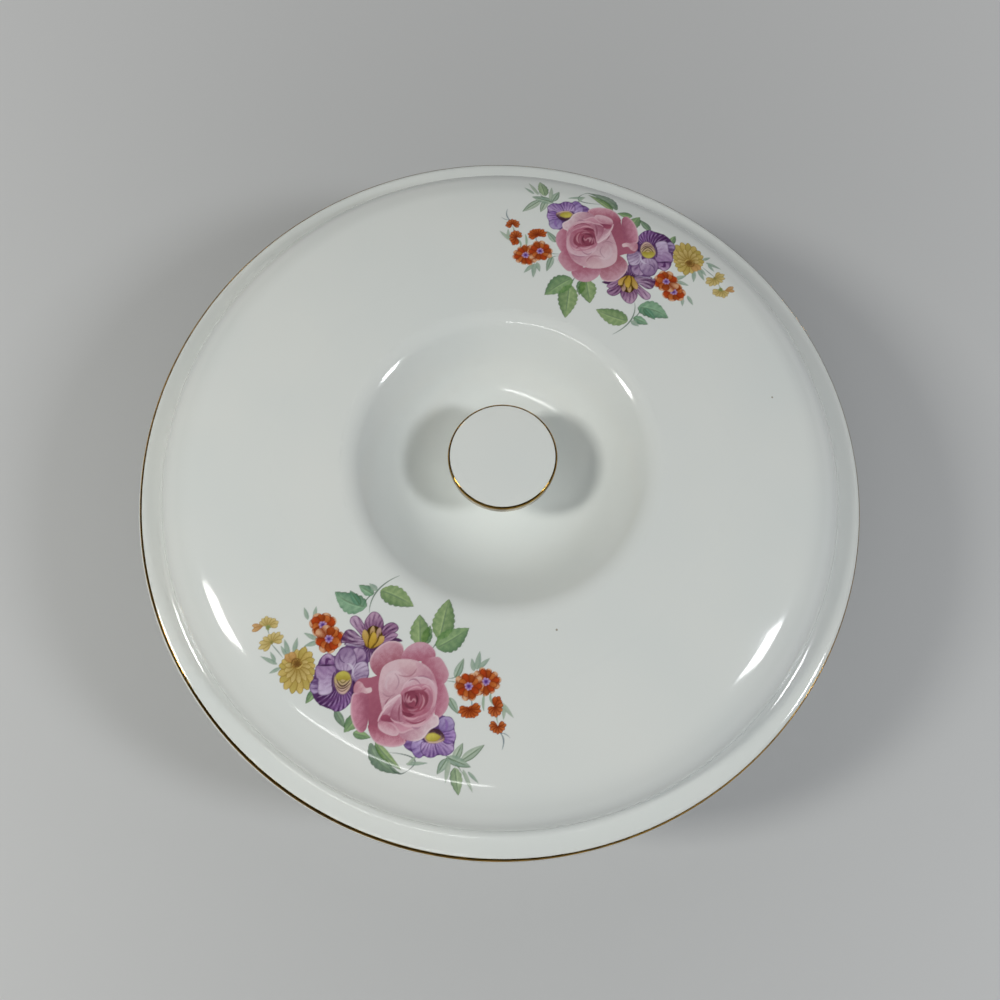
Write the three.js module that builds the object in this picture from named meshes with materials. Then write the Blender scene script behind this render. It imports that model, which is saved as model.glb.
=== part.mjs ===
// Round covered serving bowl in glazed earthenware: a footed bowl, and a lid with a sunk well and a disc knob.
// Millimetres, +Z up. The origin is the centre of the foot ring, on the surface that the bowl stands on.
// Every piece is turned on one axis, as the real ones are on a jigger or a lathe.
import * as THREE from "three";

// Bowl
const MOUTH_RADIUS = 104.5;
const RIM_WIDTH = 10.5;
const RIM_THICKNESS = 5;
const RIM_FILLET = 3;
const MOUTH_EDGE_ROUND = 1.5;
const BOWL_HEIGHT = 74;
const BOWL_WALL = 4.5;
const FLOOR_THICKNESS = 5.5;
const FLOOR_RADIUS = 61;
const FOOT_RADIUS = 57;
const FOOT_WIDTH = 6;
const FOOT_HEIGHT = 6;
const FOOT_FLARE = 1.5;
const FOOT_EDGE_ROUND = 1;

// Lid: heights in its group are counted from the top face of the flange
const LIP_SETBACK = 0.8;
const FLANGE_WIDTH = 8.7;
const FLANGE_THICKNESS = 4.5;
const SHOULDER_WIDTH = 17;
const SHOULDER_HEIGHT = 15;
const CREST_RADIUS = 48.8;
const CREST_RISE = 2.5;
const WELL_DEPTH = 19;
const WELL_WALL_DEG = 47;
const WELL_FLOOR_RADIUS = 14.6;
const LID_WALL = 4.2;
const UNDER_ROLL_RADIUS = 2.8;
const VERGE_THICKNESS = 4;
const VERGE_DEPTH = 6;
const VERGE_CLEARANCE = 1;
const SEAT_GAP = 0.3;

// Knob: heights in its group are counted from its own foot
const KNOB_RADIUS = 15.5;
const KNOB_HEIGHT = 20.5;
const KNOB_DISC_THICKNESS = 4.5;
const KNOB_EDGE_ROUND = 0.8;
const KNOB_CROWN = 0.3;
const KNOB_NECK_RADIUS = 8.5;
const KNOB_NECK_FILLET = 4;
const KNOB_FOOT_RADIUS = 11;
const KNOB_FOOT_RISE = 4;
const LUTING_GAP = 0.3;

// Gilding: two thin bands that lie over the glaze
const GILT_GAP = 0.3;
const GILT_THICKNESS = 0.35;
const LIP_GILT_FROM_DEG = 50;
const LIP_GILT_TO_DEG = 80;

// Steps round the axis and along the curves
const LARGE_SEGMENTS = 56;
const KNOB_SEGMENTS = 32;
const BODY_STEPS = 8;
const DOME_STEPS = 4;
const ROUND_STEPS = 2;

// Sizes that follow from the ones above
const rimRadius = MOUTH_RADIUS + RIM_WIDTH;
const rimUnderside = BOWL_HEIGHT - RIM_THICKNESS;
const lidRadius = rimRadius - LIP_SETBACK;
const lipRound = FLANGE_THICKNESS / 2;
const cornerRadius = lidRadius - FLANGE_WIDTH;
const shoulderCentre = cornerRadius - SHOULDER_WIDTH;
const crestHeight = SHOULDER_HEIGHT + CREST_RISE;
const wellFloor = crestHeight - WELL_DEPTH;
const vergeOuter = MOUTH_RADIUS - VERGE_CLEARANCE;
const vergeInner = vergeOuter - VERGE_THICKNESS;
const flangeTop = BOWL_HEIGHT + SEAT_GAP + FLANGE_THICKNESS;

const glaze = { color: 0xeeeee8, roughness: 0.12, metalness: 0 };
const gold = { color: 0xb98a35, roughness: 0.25, metalness: 1 };

function point(radius, height) {
  return new THREE.Vector2(radius, height);
}

// Points of an ellipse's arc, from one angle to another; 0 degrees points away from the axis and 90 up.
function arc(radius, height, halfWidth, halfHeight, fromDeg, toDeg, steps) {
  const points = [];
  for (let i = 0; i <= steps; i += 1) {
    const angle = THREE.MathUtils.degToRad(fromDeg + ((toDeg - fromDeg) * i) / steps);
    points.push(point(radius + halfWidth * Math.cos(angle), height + halfHeight * Math.sin(angle)));
  }
  return points;
}

// Turns a profile round the Z axis. A profile runs from the axis outwards below, and back above.
function turned(name, profile, segments, material) {
  const clean = profile.filter((p, i) => i === 0 || p.distanceTo(profile[i - 1]) > 0.01);
  const geometry = new THREE.LatheGeometry(clean, segments);
  geometry.rotateX(Math.PI / 2);
  const mesh = new THREE.Mesh(geometry, new THREE.MeshStandardMaterial(material));
  mesh.name = name;
  return mesh;
}

// The foot ring is turned from the bowl's own clay, so bowl and foot are one piece.
function bowl() {
  const bodyTop = rimUnderside - RIM_FILLET;
  const bodyRadius = MOUTH_RADIUS + BOWL_WALL;
  const floorTop = FOOT_HEIGHT + FLOOR_THICKNESS;
  const footInner = FOOT_RADIUS - FOOT_WIDTH;
  const edge = RIM_THICKNESS / 2;
  const profile = [
    point(0, FOOT_HEIGHT),
    point(footInner - FOOT_FLARE, FOOT_HEIGHT),
    ...arc(footInner + FOOT_EDGE_ROUND, FOOT_EDGE_ROUND, FOOT_EDGE_ROUND, FOOT_EDGE_ROUND, 180, 270, ROUND_STEPS),
    ...arc(FOOT_RADIUS - FOOT_EDGE_ROUND, FOOT_EDGE_ROUND, FOOT_EDGE_ROUND, FOOT_EDGE_ROUND, 270, 360, ROUND_STEPS),
    point(FOOT_RADIUS + FOOT_FLARE, FOOT_HEIGHT),
    ...arc(FLOOR_RADIUS, bodyTop, bodyRadius - FLOOR_RADIUS, bodyTop - FOOT_HEIGHT, 270, 360, BODY_STEPS),
    ...arc(bodyRadius + RIM_FILLET, bodyTop, RIM_FILLET, RIM_FILLET, 180, 90, ROUND_STEPS),
    ...arc(rimRadius - edge, rimUnderside + edge, edge, edge, -90, 90, 2 * ROUND_STEPS),
    ...arc(
      MOUTH_RADIUS + MOUTH_EDGE_ROUND,
      BOWL_HEIGHT - MOUTH_EDGE_ROUND,
      MOUTH_EDGE_ROUND,
      MOUTH_EDGE_ROUND,
      90,
      180,
      ROUND_STEPS,
    ),
    ...arc(FLOOR_RADIUS, bodyTop, MOUTH_RADIUS - FLOOR_RADIUS, bodyTop - floorTop, 360, 270, BODY_STEPS),
    point(0, floorTop),
  ];
  return turned("bowl", profile, LARGE_SEGMENTS, glaze);
}

// A steep elliptical shoulder that runs on into the nearly level dome, from the foot up to the crest.
function shoulderAndDome(halfWidth, halfHeight, crest) {
  const slope = (2 * (crest - halfHeight)) / (shoulderCentre - CREST_RADIUS);
  const endDeg = THREE.MathUtils.radToDeg(Math.atan2(halfHeight, halfWidth * slope));
  const shoulder = arc(shoulderCentre, 0, halfWidth, halfHeight, 0, endDeg, BODY_STEPS - 2);
  const end = shoulder[shoulder.length - 1];
  const bend = point(end.x - (crest - end.y) / slope, crest);
  const dome = new THREE.QuadraticBezierCurve(end, bend, point(CREST_RADIUS, crest));
  return [...shoulder, ...dome.getPoints(DOME_STEPS)];
}

// The well's section is a rolled crest, a straight wall and a hollow that meets the floor, all on one tangent.
const wallTurn = THREE.MathUtils.degToRad(WELL_WALL_DEG);
const rollRadius = UNDER_ROLL_RADIUS + LID_WALL;
const reachLeft = CREST_RADIUS - WELL_FLOOR_RADIUS - rollRadius * Math.sin(wallTurn);
const depthLeft = WELL_DEPTH - rollRadius * (1 - Math.cos(wallTurn));
const wallLength = depthLeft / Math.tan(wallTurn / 2) - reachLeft;
const hollowRadius = (reachLeft - wallLength * Math.cos(wallTurn)) / Math.sin(wallTurn);

// The well from the crest inwards, at a depth below the lid's upper face.
function wellSide(depth) {
  const roll = rollRadius - depth;
  const hollow = hollowRadius + depth;
  return [
    ...arc(CREST_RADIUS, crestHeight - rollRadius, roll, roll, 90, 90 + WELL_WALL_DEG, ROUND_STEPS + 1),
    ...arc(
      WELL_FLOOR_RADIUS,
      wellFloor + hollowRadius,
      hollow,
      hollow,
      WELL_WALL_DEG - 90,
      -90,
      BODY_STEPS - 3,
    ),
    point(0, wellFloor - depth),
  ];
}

function lid() {
  const vergeRound = VERGE_THICKNESS / 2;
  const vergeFoot = -FLANGE_THICKNESS - VERGE_DEPTH + vergeRound;
  const vergeCentre = vergeInner + vergeRound;
  const profile = [
    ...wellSide(LID_WALL).reverse(),
    ...shoulderAndDome(vergeInner - shoulderCentre, SHOULDER_HEIGHT - LID_WALL, crestHeight - LID_WALL).reverse(),
    ...arc(vergeCentre, vergeFoot, vergeRound, vergeRound, 180, 360, 2 * ROUND_STEPS),
    point(vergeOuter, -FLANGE_THICKNESS),
    ...arc(lidRadius - lipRound, -lipRound, lipRound, lipRound, -90, 90, 3 * ROUND_STEPS),
    ...shoulderAndDome(SHOULDER_WIDTH, SHOULDER_HEIGHT, crestHeight),
    ...wellSide(0),
  ];
  return turned("lid", profile, LARGE_SEGMENTS, glaze);
}

// The knob is cast by itself, a flared stem under a flat disc, and stuck to the well's floor with slip.
function knob() {
  const height = KNOB_HEIGHT - LUTING_GAP;
  const discUnderside = height - KNOB_DISC_THICKNESS;
  const edge = KNOB_EDGE_ROUND;
  const profile = [
    point(0, 0),
    ...arc(
      KNOB_FOOT_RADIUS,
      KNOB_FOOT_RISE,
      KNOB_FOOT_RADIUS - KNOB_NECK_RADIUS,
      KNOB_FOOT_RISE,
      270,
      180,
      ROUND_STEPS + 1,
    ),
    ...arc(
      KNOB_NECK_RADIUS + KNOB_NECK_FILLET,
      discUnderside - KNOB_NECK_FILLET,
      KNOB_NECK_FILLET,
      KNOB_NECK_FILLET,
      180,
      90,
      ROUND_STEPS + 1,
    ),
    ...arc(KNOB_RADIUS - edge, discUnderside + edge, edge, edge, -90, 0, ROUND_STEPS),
    ...arc(KNOB_RADIUS - edge, height - KNOB_CROWN - edge, edge, edge, 0, 90, ROUND_STEPS),
    point(0, height),
  ];
  return turned("knob", profile, KNOB_SEGMENTS, glaze);
}

// A gold line along the top of the lid's rounded lip.
function lidEdgeGilding() {
  const inner = lipRound + GILT_GAP;
  const outer = inner + GILT_THICKNESS;
  const centre = lidRadius - lipRound;
  const profile = [
    ...arc(centre, -lipRound, outer, outer, LIP_GILT_FROM_DEG, LIP_GILT_TO_DEG, ROUND_STEPS),
    ...arc(centre, -lipRound, inner, inner, LIP_GILT_TO_DEG, LIP_GILT_FROM_DEG, ROUND_STEPS),
  ];
  profile.push(profile[0].clone());
  return turned("lid_edge_gilding", profile, LARGE_SEGMENTS, gold);
}

// A gold band round the upright edge of the knob's disc, between its two rounded corners.
function knobEdgeGilding() {
  const inner = KNOB_RADIUS + GILT_GAP;
  const outer = inner + GILT_THICKNESS;
  const top = KNOB_HEIGHT - LUTING_GAP - KNOB_CROWN - KNOB_EDGE_ROUND;
  const bottom = KNOB_HEIGHT - LUTING_GAP - KNOB_DISC_THICKNESS + KNOB_EDGE_ROUND;
  const profile = [
    point(inner, bottom),
    point(outer, bottom),
    point(outer, top),
    point(inner, top),
    point(inner, bottom),
  ];
  return turned("knob_edge_gilding", profile, KNOB_SEGMENTS, gold);
}

const knobGroup = new THREE.Group();
knobGroup.position.z = wellFloor + LUTING_GAP;
knobGroup.add(knob(), knobEdgeGilding());

const lidGroup = new THREE.Group();
lidGroup.position.z = flangeTop;
lidGroup.add(lid(), lidEdgeGilding(), knobGroup);

const coveredBowl = new THREE.Group();
coveredBowl.add(bowl(), lidGroup);

export default coveredBowl;
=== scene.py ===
# The looks of a covered serving bowl: glazed earthenware, gilded edges and a flower spray printed twice.
# Blender's units are metres. Sizes are given in millimetres times MM, colours as sRGB hex values.
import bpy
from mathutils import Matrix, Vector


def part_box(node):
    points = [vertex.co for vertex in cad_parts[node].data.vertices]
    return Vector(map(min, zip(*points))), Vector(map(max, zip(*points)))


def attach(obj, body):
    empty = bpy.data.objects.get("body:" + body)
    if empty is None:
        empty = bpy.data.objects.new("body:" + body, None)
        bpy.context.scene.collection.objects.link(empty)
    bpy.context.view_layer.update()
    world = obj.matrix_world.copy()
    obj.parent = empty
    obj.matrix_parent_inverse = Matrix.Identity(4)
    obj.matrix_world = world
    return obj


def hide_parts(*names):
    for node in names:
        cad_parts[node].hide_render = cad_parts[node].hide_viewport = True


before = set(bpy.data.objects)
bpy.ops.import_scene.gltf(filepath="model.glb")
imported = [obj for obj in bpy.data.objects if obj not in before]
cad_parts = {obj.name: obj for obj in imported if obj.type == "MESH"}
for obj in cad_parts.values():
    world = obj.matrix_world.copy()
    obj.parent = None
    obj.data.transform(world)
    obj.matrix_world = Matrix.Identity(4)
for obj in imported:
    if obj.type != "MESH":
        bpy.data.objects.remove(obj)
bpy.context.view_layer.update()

import math

import bmesh
import bpy
import numpy as np
from bpy.props import FloatProperty, FloatVectorProperty, PointerProperty
from mathutils import Matrix, Vector

bl_info = {
    "name": "Covered Serving Bowl",
    "version": (1, 0, 0),
    "blender": (4, 5, 0),
    "location": "View3D > Sidebar > Bowl",
    "description": "Glazed earthenware bowl and lid with gilded edges and printed flower sprays",
    "category": "Add Mesh",
}

MM = 0.001

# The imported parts' own upper corners: the pieces made here keep to them.
BOWL_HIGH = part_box("bowl")[1]
LID_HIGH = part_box("lid")[1]
KNOB_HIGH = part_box("knob")[1]
KNOB_GOLD_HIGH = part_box("knob_edge_gilding")[1]

# What the gold on the knob's edge, with the gap under it, takes of the radius.
GOLD_ROOM = 0.08 * MM


def srgb(hex_colour):
    """The three shares of a '#RRGGBB' colour, from 0 to 1."""
    return np.array([int(hex_colour[k:k + 2], 16) / 255 for k in (1, 3, 5)])


def linear(shares):
    """sRGB shares turned to linear light, as Blender's sockets and colour attributes hold them."""
    shares = np.asarray(shares, float)
    return np.where(shares <= 0.04045, shares / 12.92, ((shares + 0.055) / 1.055) ** 2.4)


def length(name, description, default):
    return FloatProperty(
        name=name, description=description, default=default, min=0, unit="LENGTH", precision=4
    )


def offset(name, description, default):
    return FloatProperty(name=name, description=description, default=default, unit="LENGTH", precision=4)


def number(name, description, default):
    return FloatProperty(name=name, description=description, default=default, min=0)


def power(name, description, default):
    return FloatProperty(name=name, description=description, default=default, min=0, unit="POWER")


def angle(name, description, default_deg):
    default = math.radians(default_deg)
    return FloatProperty(name=name, description=description, default=default, subtype="ANGLE")


def colour(name, description, hex_colour):
    return FloatVectorProperty(
        name=name, description=description, default=linear(srgb(hex_colour)), min=0, max=1, subtype="COLOR"
    )


class BowlSizes(bpy.types.PropertyGroup):
    rim_radius: length("Rim radius", "Outer radius of the bowl's rim", BOWL_HIGH.x)
    height: length("Height", "Top of the rim above the surface that the bowl stands on", BOWL_HIGH.z)
    rim_width: length("Rim width", "From the mouth to the outer edge of the rim", 10.5 * MM)
    rim_thickness: length("Rim thickness", "Thickness of the flat rim", 5 * MM)
    rim_fillet: length("Rim fillet", "Hollow under the rim, where it springs from the wall", 3 * MM)
    mouth_round: length("Mouth round", "Rounding of the rim's inner edge", 1.5 * MM)
    wall: length("Wall", "Thickness of the bowl's wall", 4.5 * MM)
    floor_thickness: length("Floor thickness", "Thickness of the bowl's floor", 5.5 * MM)
    floor_radius: length("Floor radius", "Where the flat floor turns up into the wall", 61 * MM)
    foot_radius: length("Foot radius", "Outer radius of the foot ring", 57 * MM)
    foot_width: length("Foot width", "Width of the foot ring", 6 * MM)
    foot_height: length("Foot height", "Height of the foot ring", 6 * MM)
    foot_flare: length("Foot flare", "How far the foot ring leans out towards the body", 1.5 * MM)
    foot_round: length("Foot round", "Rounding of the foot ring's edges", 1 * MM)
    glaze_line: length("Glaze line", "Height up to which the foot ring is ground free of glaze", 0.45 * MM)


class LidSizes(bpy.types.PropertyGroup):
    radius: length("Radius", "Outer radius of the lid's lip", LID_HIGH.x)
    crest: length("Crest height", "Top of the dome above the surface that the bowl stands on", LID_HIGH.z)
    flange_width: length("Flange width", "Flat rim of the lid, from the lip to the shoulder", 8.7 * MM)
    flange_thickness: length("Flange thickness", "Thickness of the flat rim, with its round lip", 4.5 * MM)
    corner_fillet: length("Corner fillet", "Glaze-filled corner of flange and shoulder", 2.4 * MM)
    shoulder_width: length("Shoulder width", "Half width of the shoulder's elliptical section", 17 * MM)
    shoulder_height: length("Shoulder height", "Half height of the shoulder's elliptical section", 15 * MM)
    crest_radius: length("Crest radius", "Radius of the dome's highest line", 48.2 * MM)
    crest_rise: length("Crest rise", "How far the dome rises from the shoulder to its crest", 2.5 * MM)
    well_depth: length("Well depth", "Depth of the sunk well below the crest", 19 * MM)
    well_wall: angle("Well wall", "Steepness of the well's straight wall", 46)
    well_floor_radius: length("Well floor radius", "Radius of the well's flat floor", 14.6 * MM)
    wall: length("Wall", "Thickness of the lid's wall", 4.2 * MM)
    under_roll: length("Inner roll radius", "Radius of the crest's roll on the lid's inner face", 3.8 * MM)
    verge_thickness: length("Verge thickness", "Thickness of the ring that centres the lid", 4 * MM)
    verge_depth: length("Verge depth", "Depth of that ring below the flange", 6 * MM)
    verge_clearance: length("Verge clearance", "Gap between that ring and the bowl's mouth", 1 * MM)


class KnobSizes(bpy.types.PropertyGroup):
    radius: length("Radius", "Radius of the knob's disc inside its gold", KNOB_GOLD_HIGH.x - GOLD_ROOM)
    disc_thickness: length("Disc thickness", "Thickness of the knob's disc", 4.5 * MM)
    edge_round: length("Edge round", "Rounding of the disc's edges", 0.8 * MM)
    crown: length("Crown", "How far the middle of the disc stands above its edge", 0.3 * MM)
    neck_radius: length("Neck radius", "Radius of the stem at its narrowest", 8.5 * MM)
    neck_fillet: length("Neck fillet", "Hollow between the stem and the disc", 4 * MM)
    foot_radius: length("Foot radius", "Radius of the stem where it is stuck to the lid", 11 * MM)
    foot_rise: length("Foot rise", "Height over which the stem flares to its foot", 4 * MM)
    slip_width: length("Slip width", "How far the fillet of slip spreads round the knob's foot", 1.2 * MM)


class GildingSizes(bpy.types.PropertyGroup):
    lift: length("Lift", "Gap that keeps the gold over the glaze", 0.02 * MM)
    thickness: length("Thickness", "Thickness of the gold, drawn thicker so that it shows", 0.05 * MM)
    lip_from: angle("Lip band, lower edge", "Lower edge of the lip's gold, where it runs highest", 53)
    lip_to: angle("Lip band, upper edge", "Upper edge of the lip's gold, where it runs highest", 77)
    lip_dip: angle("Lip band, dip", "How much lower on the lip the gold runs opposite", 40)
    lip_high_side: angle("Lip band, high side", "Where the gold runs highest, from the lid's right", -140)
    brush_wander: angle("Brush wander", "How far the lower edge of the lip's gold wanders", 3)
    knob_depth: length("Knob band depth", "How far the gold runs down the edge of the knob", 2.6 * MM)


class SpraySizes(bpy.types.PropertyGroup):
    scale_across: number("Scale across", "Print's width as laid, of 1 as drawn", 0.931)
    scale_up: number("Scale up", "Print's height as laid, of 1 as drawn", 0.892)
    cell: length("Cell", "Size of the mesh cells that carry the print's colours", 0.2 * MM)
    lift: length("Lift", "Height of the print over the glaze", 0.03 * MM)
    front_across: offset("Front spray, across", "Its rose, to the right of the axis", -23.9 * MM)
    front_along: offset("Front spray, along", "Its rose, behind the axis", -69.2 * MM)
    front_turn: angle("Front spray, turn", "Turn of the front spray", 4.1)
    back_across: offset("Back spray, across", "Its rose, to the right of the axis", 26.1 * MM)
    back_along: offset("Back spray, along", "Its rose, behind the axis", 73.5 * MM)
    back_turn: angle("Back spray, turn", "Turn of the back spray", 188.1)


class Finishes(bpy.types.PropertyGroup):
    glaze: colour("Glaze", "Clear glaze over the pale body", "#EAEDE9")
    glaze_cool: colour("Glaze, cooler", "The glaze where it lies thicker", "#E1E7E5")
    speck: colour("Specks", "Iron specks that came through in the firing", "#8D7F69")
    biscuit: colour("Biscuit", "Bare fired clay on the foot ring", "#D9CDB8")
    biscuit_grime: colour("Biscuit, rubbed", "Bare clay darkened by use", "#A89A84")
    gold: colour("Gold", "Burnished liquid gold", "#B08A40")
    # The worn gold's colour is also a painted dark reflection: darker than thinned gold alone would be.
    gold_worn_and_dark_reflection: colour("Gold, worn", "Gold where handling has thinned it", "#5A4522")


class StageSizes(bpy.types.PropertyGroup):
    floor_size: length("Floor size", "Side of the square floor", 3000 * MM)
    floor_colour: colour("Floor", "Painted board that the bowl stands on", "#CFD0D0")
    fade_from: length("Fade from", "Distance from the axis where the floor begins to pale", 150 * MM)
    fade_to: length("Fade to", "Distance where the floor is as pale as the backdrop", 850 * MM)
    far_glow: number("Far glow", "Glow that pales the far floor", 0.42)
    lamp_distance: length("Lamp distance", "From the lid to the lamps on its left and right", 650 * MM)
    lamp_width: length("Lamp width", "Width of each of these lamps", 90 * MM)
    lamp_height: length("Lamp height", "Height of each of these lamps", 140 * MM)
    lamp_elevation: angle("Lamp elevation", "Height of these lamps above the horizon", 45)
    lamp_turn: angle("Lamp turn", "How far these lamps stand towards the near side", 15)
    left_power: power("Left lamp power", "Power of the lamp on the left", 1.7)
    right_power: power("Right lamp power", "Power of the lamp on the right", 1.35)
    left_tint: colour("Left lamp tint", "Faintly warm light from the left", "#FFFFFA")
    right_tint: colour("Right lamp tint", "Faintly cool light from the right", "#F9FCFF")
    tube_distance: length("Tube distance", "From the lid to the lamp tube over its near side", 800 * MM)
    tube_length: length("Tube length", "Length of the lamp tube", 420 * MM)
    tube_height: length("Tube height", "Height of the tube's face", 30 * MM)
    tube_elevation: angle("Tube elevation", "Height of the tube above the horizon", 60)
    tube_turn: angle("Tube turn", "How far the tube stands to the left of the near side", 26)
    tube_power: power("Tube power", "Power of the tube", 0.45)
    fill: number("Fill", "Strength of the soft light from all round", 0.13)
    backdrop: number("Backdrop", "Brightness of the pale backdrop as seen", 0.5)
    ceiling: number("Ceiling", "Brightness of the dim ceiling as seen", 0.05)
    camera_height: length("Camera height", "Camera above the surface that the bowl stands on", 313 * MM)
    camera_setback: length("Camera setback", "Camera in front of the bowl's axis", 68.1 * MM)
    camera_tilt: angle("Camera tilt", "Camera's tilt away from straight down", 14.22)
    camera_roll: angle("Camera roll", "Camera's turn about its own axis", 3.485)
    lens: FloatProperty(name="Lens", description="Focal length, 36 mm sensor", default=27.7, unit="CAMERA")


class CoveredBowl(bpy.types.PropertyGroup):
    bowl: PointerProperty(type=BowlSizes)
    lid: PointerProperty(type=LidSizes)
    knob: PointerProperty(type=KnobSizes)
    gilding: PointerProperty(type=GildingSizes)
    spray: PointerProperty(type=SpraySizes)
    finishes: PointerProperty(type=Finishes)
    stage: PointerProperty(type=StageSizes)


# Steps round the axis, steps along the sections' curves, and rounds of nearing in on where two curves touch.
LARGE_SEGMENTS = 224
KNOB_SEGMENTS = 128
BODY_STEPS = 48
DOME_STEPS = 32
ROUND_STEPS = 8
TANGENT_STEPS = 8
MERGE_DISTANCE = 0.005 * MM

# The print's extent in its own plane, in millimetres, and the radius on the dome that is laid down true.
PRINT_CORNERS = ((-46, -33), (36, 39))
DATUM_RADIUS = 73.5 * MM

# A cell of the print's mesh with less ink than this on every corner is left out.
BARE_COVER = 0.004

# Where the pale backdrop begins to darken and where the ceiling is dimmest, as the rise of a line of sight.
BACKDROP_TOP, CEILING_FROM = 0.05, 0.3


def arc(centre, half_width, half_height, from_deg, to_deg, steps):
    """Points of an ellipse's arc: 0 degrees points away from the axis, 90 up."""
    turns = np.radians(np.linspace(from_deg, to_deg, steps + 1))
    return [(centre[0] + half_width * math.cos(t), centre[1] + half_height * math.sin(t)) for t in turns]


def bowl_profile(bowl):
    """From the axis outwards below, over the rim, and back to the axis on the bowl's floor."""
    mouth = bowl.rim_radius - bowl.rim_width
    underside = bowl.height - bowl.rim_thickness
    fillet = bowl.rim_fillet
    body_top = underside - fillet
    body_radius = mouth + bowl.wall
    floor_top = bowl.foot_height + bowl.floor_thickness
    foot_inner = bowl.foot_radius - bowl.foot_width
    foot = bowl.foot_round
    brink = bowl.mouth_round
    edge = bowl.rim_thickness / 2
    floor = bowl.floor_radius
    return [
        (0, bowl.foot_height),
        (foot_inner - bowl.foot_flare, bowl.foot_height),
        *arc((foot_inner + foot, foot), foot, foot, 180, 270, ROUND_STEPS),
        *arc((bowl.foot_radius - foot, foot), foot, foot, 270, 360, ROUND_STEPS),
        (bowl.foot_radius + bowl.foot_flare, bowl.foot_height),
        *arc((floor, body_top), body_radius - floor, body_top - bowl.foot_height, 270, 360, BODY_STEPS),
        *arc((body_radius + fillet, body_top), fillet, fillet, 180, 90, ROUND_STEPS),
        *arc((bowl.rim_radius - edge, underside + edge), edge, edge, -90, 90, 2 * ROUND_STEPS),
        *arc((mouth + brink, bowl.height - brink), brink, brink, 90, 180, ROUND_STEPS),
        *arc((floor, body_top), mouth - floor, body_top - floor_top, 360, 270, BODY_STEPS),
        (0, floor_top),
    ]


class LidSection:
    """The lid's section. Heights are counted from the top face of its flange."""

    def __init__(self, lid):
        self.lid = lid
        self.crest = lid.shoulder_height + lid.crest_rise
        self.flange_top = lid.crest - self.crest
        self.corner = lid.radius - lid.flange_width
        self.shoulder_centre = self.corner - lid.shoulder_width
        self.roll = lid.under_roll + lid.wall
        reach = lid.crest_radius - lid.well_floor_radius - self.roll * math.sin(lid.well_wall)
        depth = lid.well_depth - self.roll * (1 - math.cos(lid.well_wall))
        straight = depth / math.tan(lid.well_wall / 2) - reach
        self.hollow = (reach - straight * math.cos(lid.well_wall)) / math.sin(lid.well_wall)
        self.well_floor = self.crest - lid.well_depth

    def filled_corner(self):
        """The glaze-filled corner, which touches flange and shoulder, and where on the shoulder it ends."""
        lid = self.lid
        turn = 0
        for _ in range(TANGENT_STEPS):
            way = math.atan2(math.sin(turn) / lid.shoulder_height, math.cos(turn) / lid.shoulder_width)
            turn = math.asin(lid.corner_fillet * (1 - math.sin(way)) / lid.shoulder_height)
        centre = (
            self.shoulder_centre + lid.shoulder_width * math.cos(turn) + lid.corner_fillet * math.cos(way),
            lid.corner_fillet,
        )
        hollow = arc(centre, lid.corner_fillet, lid.corner_fillet, 270, 180 + math.degrees(way), ROUND_STEPS)
        return hollow, math.degrees(turn)

    def shoulder_and_dome(self, half_width, half_height, crest, start_deg=0):
        """An elliptical shoulder that runs on, on one tangent, into the nearly level dome."""
        slope = 2 * (crest - half_height) / (self.shoulder_centre - self.lid.crest_radius)
        end_deg = math.degrees(math.atan2(half_height, half_width * slope))
        shoulder = arc((self.shoulder_centre, 0), half_width, half_height, start_deg, end_deg, BODY_STEPS)
        end = np.array(shoulder[-1])
        bend = np.array([end[0] - (crest - end[1]) / slope, crest])
        top = np.array([self.lid.crest_radius, crest])
        dome = [tuple((1 - t) ** 2 * end + 2 * t * (1 - t) * bend + t * t * top)
                for t in np.linspace(0, 1, DOME_STEPS + 1)]
        return shoulder + dome[1:]

    def well_side(self, depth):
        """The well from the crest inwards: a roll, a straight wall and a hollow down to the flat floor."""
        roll = self.roll - depth
        hollow = self.hollow + depth
        turn_deg = math.degrees(self.lid.well_wall)
        crest = (self.lid.crest_radius, self.crest - self.roll)
        floor_edge = (self.lid.well_floor_radius, self.well_floor + self.hollow)
        return [
            *arc(crest, roll, roll, 90, 90 + turn_deg, 2 * ROUND_STEPS),
            *arc(floor_edge, hollow, hollow, turn_deg - 90, -90, BODY_STEPS),
            (0, self.well_floor - depth),
        ]

    def upper_face(self):
        """From the corner at the flange over the dome to the middle of the well."""
        lid = self.lid
        hollow, start_deg = self.filled_corner()
        outside = self.shoulder_and_dome(lid.shoulder_width, lid.shoulder_height, self.crest, start_deg)
        return hollow + outside[1:] + self.well_side(0)[1:]

    def profile(self, mouth):
        """The whole section: the inner face from the axis out, verge and lip, and the upper face back in."""
        lid = self.lid
        verge_round = lid.verge_thickness / 2
        verge_outer = mouth - lid.verge_clearance
        verge_inner = verge_outer - lid.verge_thickness
        verge_foot = (verge_inner + verge_round, -lid.flange_thickness - lid.verge_depth + verge_round)
        lip = lid.flange_thickness / 2
        inside = self.shoulder_and_dome(
            verge_inner - self.shoulder_centre, lid.shoulder_height - lid.wall, self.crest - lid.wall
        )
        points = [
            *reversed(self.well_side(lid.wall)),
            *reversed(inside),
            *arc(verge_foot, verge_round, verge_round, 180, 360, 2 * ROUND_STEPS),
            (verge_outer, -lid.flange_thickness),
            *arc((lid.radius - lip, -lip), lip, lip, -90, 90, 3 * ROUND_STEPS),
            *self.upper_face(),
        ]
        return [(radius, height + self.flange_top) for radius, height in points]


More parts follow.
